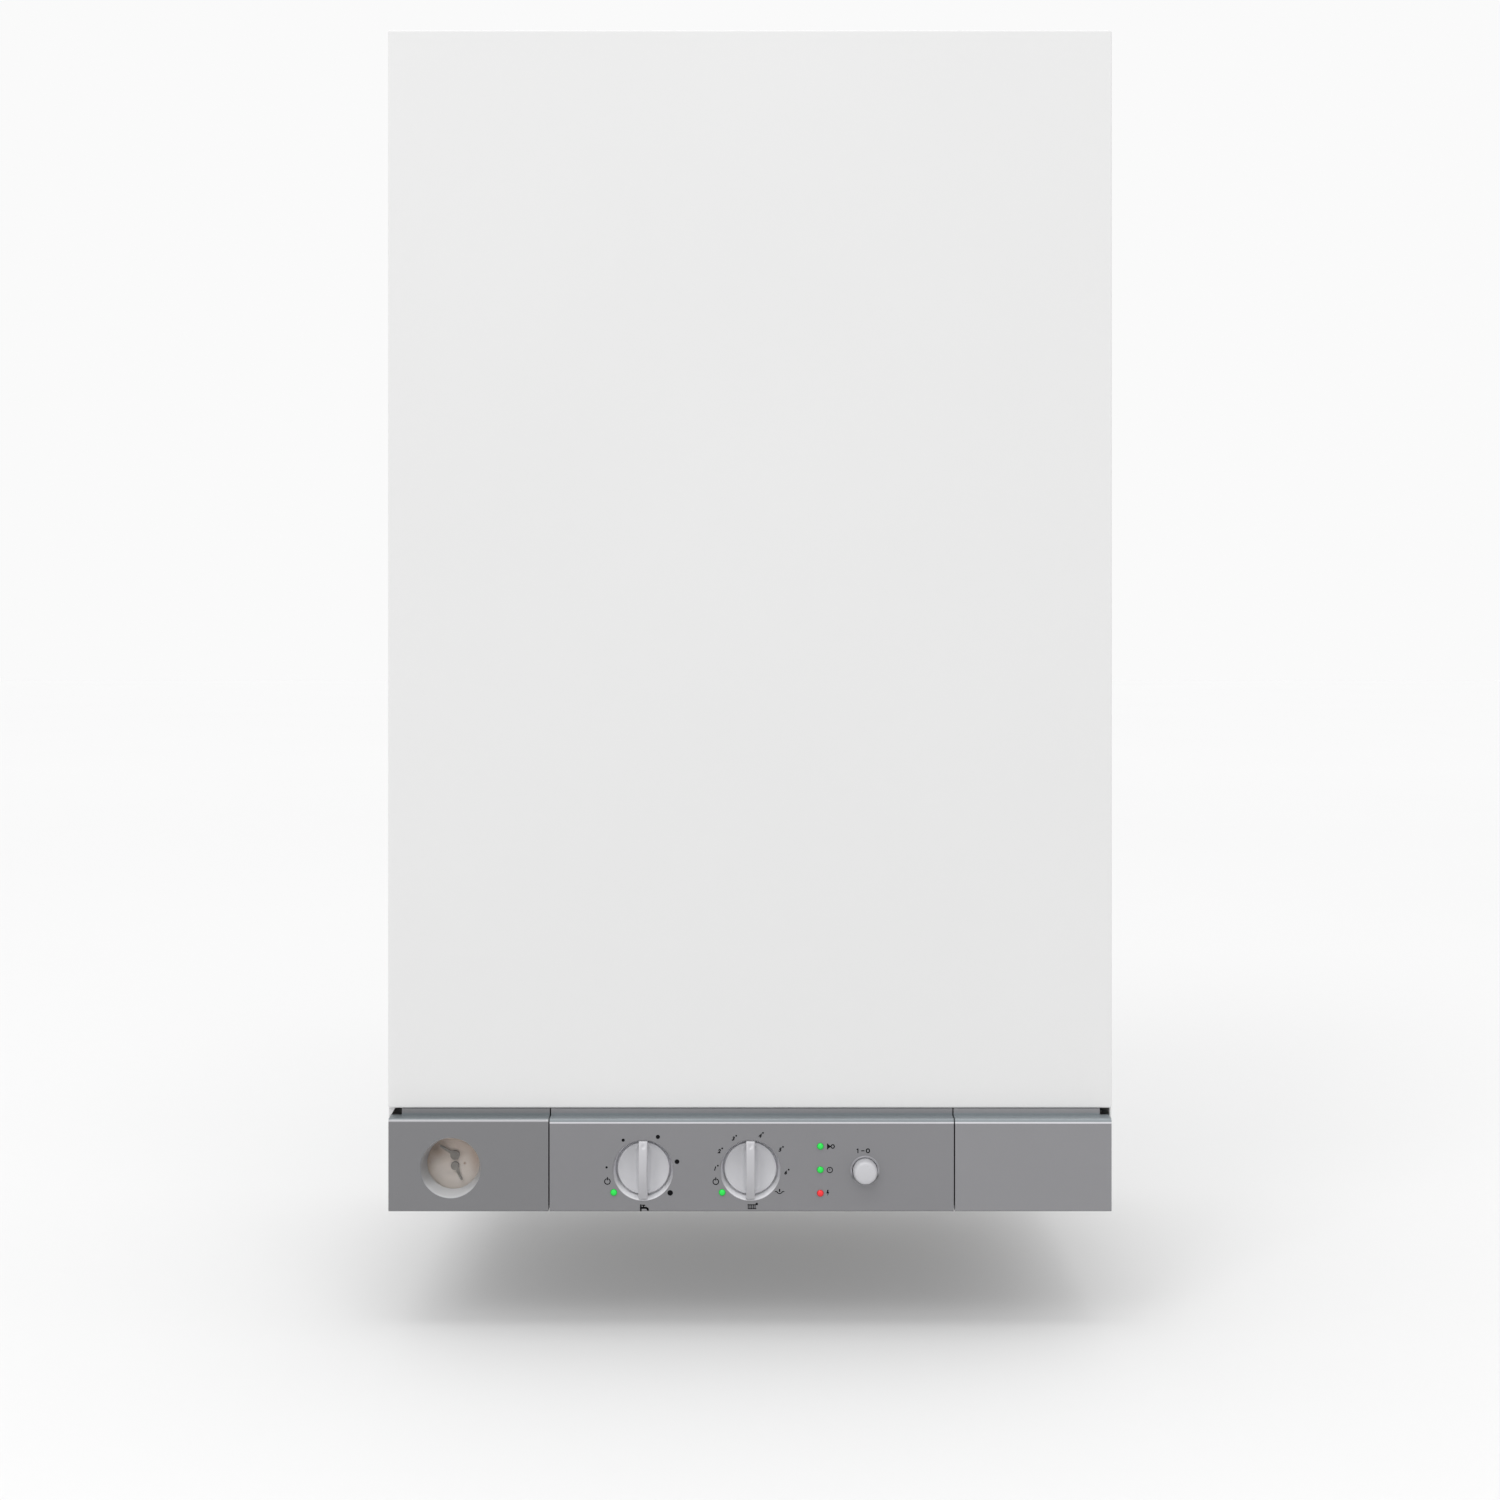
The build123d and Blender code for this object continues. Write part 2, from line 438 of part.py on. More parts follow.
rotor = RY(PUMP_X, PUMP_Z, [(0, -213), (4.0, -213), (4.0, -204), (20, -204), (20, -156), (5.0, -156), (5.0, -138), (34, -138), (34, -135), (8, -135), (8, -121), (0, -121)])
rotor = rotor + vanes + RY(PUMP_X, PUMP_Z, [(16, -123), (34, -123), (34, -121), (16, -121)])
save("pump_rotor", rotor)
vent = RZ(PUMP_X, -142, [(0, 204), (9, 204), (9, 216), (12.5, 218), (12.5, 246), (9, 249), (4, 249), (4, 255), (0, 255)])
save("air_vent", vent - CZ(190, 217, PUMP_X, STUB_Y, 15.0) - CY(-160, -90, PUMP_X, PUMP_Z, 47.0))


relief = B(180, 210, -140, -100, 84, 112)
relief = fillet(relief.edges().filter_by(Axis.Z), 4)
relief = relief + CX(168, 180, STUB_Y, 98, 8) - CX(167, 195, STUB_Y, 98, 5) - CZ(70, 98, RELIEF_X, STUB_Y, 6) - CY(-141, -120, RELIEF_X, 98, 4.05)
save("return_block", relief)
rk = RY(RELIEF_X, 98, [(0, -168), (12.5, -168), (14, -166), (14, -144), (9, -144), (9, -141), (4.0, -141), (4.0, -122), (0, -122)])
cuts = [Pos(RELIEF_X, 0, 98) * Rot(0, k * 45, 0) * CY(-169, -143.5, 16.2, 0, 4.0) for k in range(8)]
rk = rk - cuts + B(RELIEF_X - 1.2, RELIEF_X + 1.2, -169.2, -166, 98 + 2, 98 + 10)
save("relief_valve_knob", rk)
save("copper_pipes", RZ(RELIEF_X, STUB_Y, [(6.0, 22), (7.5, 22), (7.5, 60), (10, 60), (10, 68), (7.5, 68), (7.5, 84), (6.0, 84)]))

tap = CX(83.5, 97, STUB_Y, 58, 6) + CX(113, 124, STUB_Y, 58, 6) + fillet(B(96, 114, -130, -110, 46.5, 65.5).edges().filter_by(Axis.Y), 3)
tap = tap - CX(83, 125, STUB_Y, 58, 4) + CY(-136, -130, 105, 56, 6) - CY(-137, -122, 105, 56, 3.05)
save("filling_tap", tap)
tap_knob = RY(105, 56, [(0, -150), (9, -150), (9, -138.5), (3.0, -138.5), (3.0, -124), (0, -124)])
tap_knob = tap_knob + fillet(B(94, 116, -150, -141, 52, 60).edges().filter_by(Axis.Y), 3.5)
save("filling_tap_knob", tap_knob)

save("copper_pipes", pipe([(-164, HX_PASSES[0], HX_Z), (-192, HX_PASSES[0], HX_Z), (-192, HX_PASSES[0], 262), (-192, STUB_Y, 226), (-140, STUB_Y, 206), (-140, STUB_Y, 166)], 9.0, 8.0, [18, 40, 26, 16]))
save("copper_pipes", pipe([(140, STUB_Y, 216), (140, STUB_Y, 240), (190, STUB_Y, 276), (190, STUB_Y, HX_Z), (164, STUB_Y, HX_Z)], 9.0, 8.0, [16, 26, 17]))
save("water_sensors", CY(-293, -281, -192, 450, 8) + B(-200, -184, -295, -293, 444, 456))
save("water_sensors", CY(-289, -281, -192, 330, 5) + B(-196, -188, -296, -289, 326, 334))

# ---------------------------------------------------------------- gas line
valve = fillet(B(-28, 28, -190, -106, 92, 146).edges().filter_by(Axis.Z), 6)
valve = valve + CZ(75, 92, 0, STUB_Y, 12) - CZ(74, 110, 0, STUB_Y, 9.5)
valve = valve + CZ(146, 154, 0, -168, 12) - CZ(135, 155, 0, -168, 6.5)
valve = valve + B(-20, 20, -168 + 16, -112, 146, 152)
save("gas_valve", valve)
coils = []
for sx in (-1, 1):
    c = RY(sx * 14.5, 119, [(0, -226), (5, -226), (5, -222), (13.5, -222), (13.5, -190), (0, -190)])
    coils.append(c)
save("gas_valve_coils", coils)
save("copper_pipes", pipe([(0, -168, 154), (0, -168, 232), (0, -295.2, 232), (0, -295.2, 301)], 7.5, 6.5, 22))

# ---------------------------------------------------------------- control unit, folds down on two pins
tray = B(-218, 218, -351, -240, 5.2, 55.8) - B(-215.6, 215.6, -352, -242.4, 7.6, 57)
tray = tray - B(-219, 219, -352, -344.8, 7.6, 57)
for sx in (-1, 1):
    ear = B(sx * 212, sx * 218, -242.4, FOLD_Y, 5.2, 16) + CX(min(sx * 212, sx * 218), max(sx * 212, sx * 218), FOLD_Y, FOLD_Z, 5.6)
    tray = tray + ear - CX(min(sx * 211, sx * 219), max(sx * 211, sx * 219), FOLD_Y, FOLD_Z, 3.05)
tray = tray - CY(-244, -238, 178, 32, 8.0)
for x in (-60, -20, 20, 60):
    tray = tray + B(x - 1, x + 1, -322, -242.4, 7.6, 11)
save("control_tray", tray)
lid = B(-218, 218, -351.6, -240, 55.8, 57.3)
lid = lid + B(-190, 190, -330, -328, 57.3, 59) + B(-190, 190, -262, -260, 57.3, 59)
save("control_lid", lid)
save("fold_pins", [CX(211, 224, FOLD_Y, FOLD_Z, 3.0), CX(-224, -211, FOLD_Y, FOLD_Z, 3.0)])
save("cable_gland", RY(178, 32, [(3.6, -244), (7.8, -244), (7.8, -240), (11, -240), (11, -233), (8, -228), (3.6, -228)]) + RY(178, 32, [(3.6, -246.4), (10.5, -246.4), (10.5, -242.4), (7.8, -242.4), (3.6, -242.4)]))


def strip(x0, x1, lip0, lip1):
    """One section of the grey strip: front wall, ledge with a rounded edge, upstand, lower return."""
    pl = Plane(origin=(x0, 0, 0), x_dir=(0, 1, 0), z_dir=(1, 0, 0))
    f, r, t = FASCIA_FRONT, 2.2, 2.2
    outline = Polyline((-345.5, FASCIA_LOW), (f + 0.8, FASCIA_LOW), (f, FASCIA_LOW + 0.8), (f, LEDGE - r)) + \
        ThreePointArc((f, LEDGE - r), (f + r * (1 - math.sqrt(0.5)), LEDGE - r * (1 - math.sqrt(0.5))), (f + r, LEDGE)) + \
        Polyline((f + r, LEDGE), (-343.6, LEDGE), (-343.6, LEDGE - t), (f + t + 0.6, LEDGE - t), (f + t, LEDGE - t - 0.6),
                 (f + t, FASCIA_LOW + t), (-345.5, FASCIA_LOW + t), (-345.5, FASCIA_LOW))
    s = extrude(pl * make_face(outline), x1 - x0)
    s = s + B(lip0, lip1, LIP_FRONT, -343.6, LEDGE - 0.5, LIP_TOP)
    return s


left = strip(-FASCIA_HALF, SPLIT_L - SPLIT_GAP / 2, -216.4, SPLIT_L - SPLIT_GAP / 2)
left = left + B(-FASCIA_HALF, -FASCIA_HALF + 2.2, FASCIA_FRONT + 0.9, -345.5, FASCIA_LOW, LEDGE - 0.2)
left = left + CY(-353, -338.5, GAUGE_X, GAUGE_Z, 20.8)
left = left - RY(GAUGE_X, GAUGE_Z, [(0, -356), (18.9, -356), (18.8, -355), (18.2, -353.8), (16.3, -342.4), (16.3, -341.6), (18.3, -341.6), (18.3, -337), (0, -337)])
save("fascia_left", left)
right = strip(SPLIT_R + SPLIT_GAP / 2, FASCIA_HALF, SPLIT_R + SPLIT_GAP / 2, 217.5)
right = right + B(FASCIA_HALF - 2.2, FASCIA_HALF, FASCIA_FRONT + 0.9, -345.5, FASCIA_LOW, LEDGE - 0.2)
save("fascia_right", right)

centre = strip(SPLIT_L + SPLIT_GAP / 2, SPLIT_R - SPLIT_GAP / 2, SPLIT_L + SPLIT_GAP / 2, SPLIT_R - SPLIT_GAP / 2)
for kx in (DHW_X, CH_X):
    centre = centre + RY(kx, KNOB_Z, [(0, -353.5), (19.9, -353.5), (18.9, DISH_FLOOR_Y + 2), (0, DISH_FLOOR_Y + 2)])
for px, pz in ((-105, 12), (-105, 50), (108, 12), (108, 50)):
    centre = centre + CY(-353, -330.6, px, pz, 3.0)
for kx in (DHW_X, CH_X):
    centre = centre - RY(kx, KNOB_Z, [(0, -356), (DISH_R + 0.4, -356), (DISH_R + 0.1, FASCIA_FRONT), (DISH_R - 0.35, FASCIA_FRONT + 0.7), (DISH_FLOOR_R + 0.2, DISH_FLOOR_Y - 0.7), (DISH_FLOOR_R - 0.4, DISH_FLOOR_Y), (0, DISH_FLOOR_Y)])
    centre = centre - CY(-347, -344, kx, KNOB_Z, 3.4)
centre = centre + CY(-353, -346, BUTTON_X, BUTTON_Z, 10.2)
centre = centre - RY(BUTTON_X, BUTTON_Z, [(0, -356), (9.5, -356), (9.2, FASCIA_FRONT), (7.9, FASCIA_FRONT + 0.9), (7.9, -345), (0, -345)])
for lx, lz in LEDS_GREEN + [LED_RED]:
    centre = centre - CY(-356, -340, lx, lz, LED_R + 0.05)
save("fascia_centre", centre)


def led(lx, lz):
    return RY(lx, lz, [(0, -356.3), (0.9, -356.15), (1.6, -355.75), (LED_R, -355.0), (LED_R, -341), (1.2, -340.5), (1.2, -330.6), (0, -330.6)])


save("indicator_lights", [led(*p) for p in LEDS_GREEN])
save("indicator_lights", led(*LED_RED))


def knob(kx):
    """Recessed disc with a dished face and a straight grip bar across it, on a 6 mm spindle."""
    pl = Plane(origin=(kx, 0, KNOB_Z), x_dir=(1, 0, 0), z_dir=(0, 0, 1))
    prof = Polyline((0, -346.9), (DISC_R - 0.3, -346.9), (DISC_R, -347.2), (DISC_R, -348.5), (DISC_R - 0.45, -348.95)) + \
        ThreePointArc((DISC_R - 0.45, -348.95), (9.0, -348.35), (0, -348.1)) + Line((0, -348.1), (0, -346.9))
    d = revolve(pl * make_face(prof), Axis((kx, 0, KNOB_Z), (0, 1, 0)))
    side = Plane(origin=(kx - 2.8, 0, KNOB_Z), x_dir=(0, 1, 0), z_dir=(1, 0, 0))
    bar_prof = Polyline((-348.0, -15.4), (-350.4, -17.0), (-354.6, -18.3)) + ThreePointArc((-354.6, -18.3), (-358.4, 0), (-354.6, 18.3)) + \
        Polyline((-354.6, 18.3), (-350.4, 17.0), (-348.0, 15.4), (-348.0, -15.4))
    bar = extrude(side * make_face(bar_prof), 5.6)
    bar = fillet(bar.edges().filter_by(lambda e: e.geom_type == GeomType.CIRCLE), 0.9)
    k = d + bar
    k = k + CY(-347, -332, kx, KNOB_Z, 3.0)
    return k


save("hot_water_knob", knob(DHW_X))
save("heating_knob", knob(CH_X))

cap = RY(BUTTON_X, BUTTON_Z, [(0, -362.3), (3.4, -362.2), (5.4, -361.9), (6.7, -361.3), (7.3, -360.4), (BUTTON_R, -359.4), (BUTTON_R, -349), (4.2, -349), (4.2, -335.5), (0, -335.5)])
save("power_button", cap)
sw = fillet(B(BUTTON_X - 10, BUTTON_X + 10, -342, -330.6, BUTTON_Z - 8, BUTTON_Z + 8).edges().filter_by(Axis.Y), 1.5)
save("board_components", sw - CY(-343, -332, BUTTON_X, BUTTON_Z, 4.5))

board = B(-112, 114, -330.6, -329, 8.4, 54.5)
save("control_board", board)
pots = []
for kx in (DHW_X, CH_X):
    pots.append(RY(kx, KNOB_Z, [(3.05, -339), (4.6, -339), (4.6, -336), (9, -336), (9, -330.6), (0, -330.6), (0, -331.6), (3.05, -331.6)]))
save("board_components", pots)
parts_on_board = [B(-100, -60, -329, -306, 14, 40), B(-48, -30, -329, -314, 12, 30), B(-24, -6, -329, -314, 12, 30), CY(-329, -305, 24, 30, 9), CY(-329, -309, 48, 24, 6),
                  B(66, 104, -329, -317, 34, 50), B(62, 108, -329, -320, 12, 20)]
save("board_components", parts_on_board)

# thermo-manometer behind the left section
gcase = RY(GAUGE_X, GAUGE_Z, [(18.6, -338.5), (20.8, -338.5), (20.8, -314), (18, -311), (0, -311), (0, -313), (17.5, -313), (18.6, -314.5)])
gcase = gcase + CY(-311, -303, GAUGE_X - 7, GAUGE_Z, 3) + CY(-311, -303, GAUGE_X + 7, GAUGE_Z, 3)
save("gauge_case", gcase)
NX, NZ_UP, NZ_LOW = -184.45, 32.7, 26.0
dial = CY(-336.0, -335.2, GAUGE_X, GAUGE_Z, 18.5) - CY(-337, -334, NX, NZ_UP, 0.85) - CY(-337, -334, NX, NZ_LOW, 0.85)
dial = dial + (CY(-335.2, -313, GAUGE_X, GAUGE_Z, 10.5) - CY(-336, -312, GAUGE_X, GAUGE_Z, 9.0))
save("gauge_case", dial)
save("gauge_glass", CY(-341.6, -340.1, GAUGE_X, GAUGE_Z, 18.1))


def needle(hz, ang, length, hub):
    a = math.radians(ang)
    n_ = CY(-338.4, -337.0, NX, hz, hub) + CY(-337.2, -330, NX, hz, 0.75)
    arm = Pos(NX, 0, hz) * Rot(0, -ang, 0) * extrude(Plane(origin=(0, -337.4, 0), x_dir=(1, 0, 0), z_dir=(0, -1, 0)) * make_face(
        Polyline((0, -1.0), (length - 0.5, -0.55), (length, 0), (length - 0.5, 0.55), (0, 1.0), close=True)), 0.6)
    return n_ + arm


save("pressure_needle", needle(NZ_UP, 147.9, 11.3, 2.9))
save("temperature_needle", needle(NZ_LOW, -64.6, 10.0, 2.6))

write_nodes()
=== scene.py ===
import math

import bpy
import bmesh
from mathutils import Matrix, Vector


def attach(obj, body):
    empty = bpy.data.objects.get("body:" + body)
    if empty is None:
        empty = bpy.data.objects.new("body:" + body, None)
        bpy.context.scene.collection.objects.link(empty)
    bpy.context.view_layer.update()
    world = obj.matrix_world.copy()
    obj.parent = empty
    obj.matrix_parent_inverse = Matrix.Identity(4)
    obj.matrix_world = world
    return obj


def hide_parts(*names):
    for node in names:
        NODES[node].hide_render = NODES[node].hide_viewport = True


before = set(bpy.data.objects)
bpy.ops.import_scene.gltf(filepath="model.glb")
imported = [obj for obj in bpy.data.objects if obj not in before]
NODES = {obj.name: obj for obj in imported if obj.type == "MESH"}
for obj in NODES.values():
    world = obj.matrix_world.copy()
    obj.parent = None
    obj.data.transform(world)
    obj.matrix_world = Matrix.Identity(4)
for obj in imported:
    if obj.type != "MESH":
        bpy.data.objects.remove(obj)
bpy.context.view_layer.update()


HANG = 0.690


def P(x, y, zb):
    """A point given in millimetres, with its height counted from the strip's underside line."""
    return Vector((x / 1000.0, y / 1000.0, zb / 1000.0 - HANG))


# ------------------------------------------------------------------ materials
def new_mat(name):
    m = bpy.data.materials.new(name)
    m.use_nodes = True
    nt = m.node_tree
    nt.nodes.clear()
    out = nt.nodes.new("ShaderNodeOutputMaterial")
    b = nt.nodes.new("ShaderNodeBsdfPrincipled")
    nt.links.new(b.outputs["BSDF"], out.inputs["Surface"])
    return m, nt, b


def coords(nt, scale=(1, 1, 1)):
    tc = nt.nodes.new("ShaderNodeTexCoord")
    mp = nt.nodes.new("ShaderNodeMapping")
    mp.inputs["Scale"].default_value = scale
    nt.links.new(tc.outputs["Object"], mp.inputs["Vector"])
    return mp.outputs["Vector"]


def noise(nt, vec, scale, detail=3.0, rough=0.5, distortion=0.0):
    n = nt.nodes.new("ShaderNodeTexNoise")
    n.inputs["Scale"].default_value = scale
    n.inputs["Detail"].default_value = detail
    n.inputs["Roughness"].default_value = rough
    n.inputs["Distortion"].default_value = distortion
    nt.links.new(vec, n.inputs["Vector"])
    return n.outputs["Fac"]


def ramp(nt, fac, stops):
    r = nt.nodes.new("ShaderNodeValToRGB")
    el = r.color_ramp.elements
    el[0].position, el[0].color = stops[0][0], (*stops[0][1], 1)
    el[1].position, el[1].color = stops[-1][0], (*stops[-1][1], 1)
    for p, c in stops[1:-1]:
        e = el.new(p)
        e.color = (*c, 1)
    nt.links.new(fac, r.inputs["Fac"])
    return r.outputs["Color"]


def remap(nt, fac, a, b, lo=0.3, hi=0.7):
    m = nt.nodes.new("ShaderNodeMapRange")
    m.inputs["From Min"].default_value = lo
    m.inputs["From Max"].default_value = hi
    m.inputs["To Min"].default_value = a
    m.inputs["To Max"].default_value = b
    nt.links.new(fac, m.inputs["Value"])
    return m.outputs["Result"]


def bump(nt, b, height, strength, distance, prev=None):
    n = nt.nodes.new("ShaderNodeBump")
    n.inputs["Strength"].default_value = strength
    n.inputs["Distance"].default_value = distance
    nt.links.new(height, n.inputs["Height"])
    if prev is not None:
        nt.links.new(prev, n.inputs["Normal"])
    nt.links.new(n.outputs["Normal"], b.inputs["Normal"])
    return n.outputs["Normal"]


def tint(c, k):
    return tuple(max(0.0, min(1.0, v * k)) for v in c)


def surface(name, base, rough, metallic=0.0, mottle=0.03, mottle_scale=18.0, dr=0.04, grain=None, coat=0.0, coat_rough=0.1, spec=0.5, stretch=None, speck=None):
    """General moulded, painted or metal finish: slow colour drift, roughness drift and a fine surface grain."""
    m, nt, b = new_mat(name)
    vec = coords(nt, stretch or (1, 1, 1))
    drift = noise(nt, coords(nt), mottle_scale, 4.0, 0.55)
    col = ramp(nt, drift, [(0.3, tint(base, 1 - mottle)), (0.7, tint(base, 1 + mottle))])
    if speck:
        scale, amount = speck
        s = noise(nt, coords(nt), scale, 2.0, 0.6)
        mix = nt.nodes.new("ShaderNodeMix")
        mix.data_type = "RGBA"
        mix.blend_type = "MULTIPLY"
        mix.inputs["Factor"].default_value = 1.0
        nt.links.new(col, mix.inputs["A"])
        nt.links.new(ramp(nt, s, [(0.35, (1 - amount,) * 3), (0.6, (1.0,) * 3)]), mix.inputs["B"])
        col = mix.outputs["Result"]
    nt.links.new(col, b.inputs["Base Color"])
    b.inputs["Metallic"].default_value = metallic
    b.inputs["Specular IOR Level"].default_value = spec
    rn = noise(nt, vec, (grain[0] * 0.12 if grain else 60.0), 3.0)
    nt.links.new(remap(nt, rn, max(0.02, rough - dr), min(1.0, rough + dr)), b.inputs["Roughness"])
    if coat:
        b.inputs["Coat Weight"].default_value = coat
        b.inputs["Coat Roughness"].default_value = coat_rough
    if grain:
        g = noise(nt, vec, grain[0], 2.0, 0.6)
        bump(nt, b, g, grain[1], grain[2])
    return m


def spangle(name, base, rough, cell=90.0):
    """Zinc-coated sheet: crystal patches of slightly different brightness."""
    m, nt, b = new_mat(name)
    v = nt.nodes.new("ShaderNodeTexVoronoi")
    v.inputs["Scale"].default_value = cell
    warp = nt.nodes.new("ShaderNodeMix")
    warp.data_type = "VECTOR"
    warp.inputs["Factor"].default_value = 0.02
    c = coords(nt)
    n = nt.nodes.new("ShaderNodeTexNoise")
    n.inputs["Scale"].default_value = cell * 1.5
    nt.links.new(c, n.inputs["Vector"])
    nt.links.new(c, warp.inputs["A"])
    nt.links.new(n.outputs["Color"], warp.inputs["B"])
    nt.links.new(warp.outputs["Result"], v.inputs["Vector"])
    sep = nt.nodes.new("ShaderNodeSeparateColor")
    nt.links.new(v.outputs["Color"], sep.inputs["Color"])
    nt.links.new(ramp(nt, sep.outputs["Red"], [(0.0, tint(base, 0.92)), (1.0, tint(base, 1.06))]), b.inputs["Base Color"])
    nt.links.new(remap(nt, sep.outputs["Green"], rough - 0.07, rough + 0.1, 0, 1), b.inputs["Roughness"])
    b.inputs["Metallic"].default_value = 0.9
    bump(nt, b, noise(nt, coords(nt), 900, 2), 0.12, 0.0002)
    return m


def zoned(name, zones, rough, metallic=0.0, grain=None, coat=0.0, spec=0.5):
    """Finish whose colour changes along one axis of the piece: zones is (axis, [(position in metres, colour)...])."""
    m, nt, b = new_mat(name)
    axis, stops = zones
    tc = nt.nodes.new("ShaderNodeTexCoord")
    sep = nt.nodes.new("ShaderNodeSeparateXYZ")
    nt.links.new(tc.outputs["Object"], sep.inputs["Vector"])
    lo, hi = stops[0][0], stops[-1][0]
    f = remap(nt, sep.outputs[axis], 0.0, 1.0, lo, hi)
    col = ramp(nt, f, [((p - lo) / (hi - lo), c) for p, c in stops])
    mix = nt.nodes.new("ShaderNodeMix")
    mix.data_type = "RGBA"
    mix.blend_type = "MULTIPLY"
    mix.inputs["Factor"].default_value = 1.0
    nt.links.new(col, mix.inputs["A"])
    nt.links.new(ramp(nt, noise(nt, coords(nt), 40), [(0.3, (0.95,) * 3), (0.7, (1.0,) * 3)]), mix.inputs["B"])
    nt.links.new(mix.outputs["Result"], b.inputs["Base Color"])
    b.inputs["Metallic"].default_value = metallic
    b.inputs["Specular IOR Level"].default_value = spec
    nt.links.new(remap(nt, noise(nt, coords(nt), 80), rough - 0.03, rough + 0.03), b.inputs["Roughness"])
    if coat:
        b.inputs["Coat Weight"].default_value = coat
    if grain:
        bump(nt, b, noise(nt, coords(nt), grain[0], 2), grain[1], grain[2])
    return m


ENAMEL = surface("white_enamel_coat", (0.695, 0.695, 0.694), 0.42, mottle=0.006, mottle_scale=5, dr=0.03, grain=(1300, 0.06, 0.00006), spec=0.4)


def strip_finish(name, base, pockets, line=(57.85, 58.55, 2.35)):
    """Satin silver-grey strip with light painted into its colour: a painted highlight line along the ledge's rounded
    edge, a painted bluish sheen on the ledge top, the shaded upstand painted lighter, and painted light in the round
    recesses (a bright lower crescent as painted highlight, the rest lightened to cancel their shade).
    """
    m, nt, b = new_mat(name)
    tc = nt.nodes.new("ShaderNodeTexCoord")
    sep = nt.nodes.new("ShaderNodeSeparateXYZ")
    nt.links.new(tc.outputs["Object"], sep.inputs["Vector"])
    h = lambda zb: (zb - 50.0) / 16.0
    # Painted bluish sheen for the upward-facing ledge top.
    painted_ledge_sheen = (base[0] * 1.02, base[1] * 1.14, base[2] * 1.16)
    z = remap(nt, sep.outputs["Z"], 0.0, 1.0, P(0, 0, 50).z, P(0, 0, 66).z)
    # Colour up the strip's height, painted light above the front face: a painted highlight line on the ledge's rounded
    # edge (line gives its lower and upper height and its brightening), the painted sheen on the ledge top, then the
    # shaded upstand painted lighter.
    band = ramp(nt, z, [(0.0, base), (h(line[0] - 0.45), base), (h(line[0]), tint(base, line[2])), (h(line[1]), tint(base, line[2])), (h(line[1] + 0.5), painted_ledge_sheen), (h(60.6), painted_ledge_sheen), (h(61.1), tint(base, 1.12)), (1.0, tint(base, 1.16))])
    col = band

    for x, zb, r, colour, ring, gain in pockets:
        c = P(x, 0, zb)
        mp = nt.nodes.new("ShaderNodeMapping")
        mp.inputs["Location"].default_value = (-c.x * 1000.0, 0.0, -c.z * 1000.0)
        mp.inputs["Scale"].default_value = (1000.0, 0.0, 1000.0)
        nt.links.new(tc.outputs["Object"], mp.inputs["Vector"])
        ln = nt.nodes.new("ShaderNodeVectorMath")
        ln.operation = "LENGTH"
        nt.links.new(mp.outputs["Vector"], ln.inputs[0])
        fall = remap(nt, sep.outputs["Z"], 0.0, 1.0, c.z - r / 1000.0, c.z + r / 1000.0)
        # Painted light in each recess: a bright lower crescent as painted highlight, darker sides, and the upper part
        # painted lighter to cancel the recess's shade.
        side = ramp(nt, fall, [(0.0, colour), (0.16, tint(colour, 0.92)), (0.30, tint(colour, 0.60)), (0.46, tint(base, 1.55)), (0.66, tint(base, 1.5)), (1.0, tint(base, 2.5))])
        if ring:
            # Inside the ring radius the recess is painted lighter still, to cancel the dark gap around the disc or
            # button.
            near = ramp(nt, fall, [(0.0, colour), (0.16, tint(colour, 0.95)), (0.30, tint(colour, 0.72)), (0.44, tint(base, 3.7 * gain)), (0.66, tint(base, 3.5 * gain)), (1.0, tint(base, 3.7 * gain))])
            join = nt.nodes.new("ShaderNodeMix")
            join.data_type = "RGBA"
            nt.links.new(remap(nt, ln.outputs["Value"], 1.0, 0.0, ring, r - 0.2), join.inputs["Factor"])
            nt.links.new(side, join.inputs["A"])
            nt.links.new(near, join.inputs["B"])
            side = join.outputs["Result"]
        mix = nt.nodes.new("ShaderNodeMix")
        mix.data_type = "RGBA"
        nt.links.new(remap(nt, ln.outputs["Value"], 1.0, 0.0, r - 0.25, r + 0.1), mix.inputs["Factor"])
        nt.links.new(col, mix.inputs["A"])
        nt.links.new(side, mix.inputs["B"])
        col = mix.outputs["Result"]

    def times(a, fac):
        mix = nt.nodes.new("ShaderNodeMix")
        mix.data_type = "RGBA"
        mix.blend_type = "MULTIPLY"
        mix.inputs["Factor"].default_value = 1.0
        nt.links.new(a, mix.inputs["A"])
        nt.links.new(fac, mix.inputs["B"])
        return mix.outputs["Result"]

    col = times(col, ramp(nt, noise(nt, coords(nt), 14, 4, 0.55), [(0.3, (0.975,) * 3), (0.7, (1.0, 1.0, 1.0))]))
    col = times(col, ramp(nt, noise(nt, coords(nt), 5200, 2, 0.6), [(0.35, (0.94,) * 3), (0.6, (1.0,) * 3)]))
    nt.links.new(col, b.inputs["Base Color"])
    b.inputs["Metallic"].default_value = 0.12
    b.inputs["Specular IOR Level"].default_value = 0.5
    b.inputs["Coat Weight"].default_value = 0.15
    b.inputs["Coat Roughness"].default_value = 0.22
    nt.links.new(remap(nt, noise(nt, coords(nt), 400), 0.33, 0.39), b.inputs["Roughness"])
    bump(nt, b, noise(nt, coords(nt), 4200, 2, 0.6), 0.10, 0.00006)
    return m


# Colour of the bright lower crescent in the knob recesses: a painted highlight.
CUP_PAINTED_HIGHLIGHT = (0.95, 0.95, 0.97)
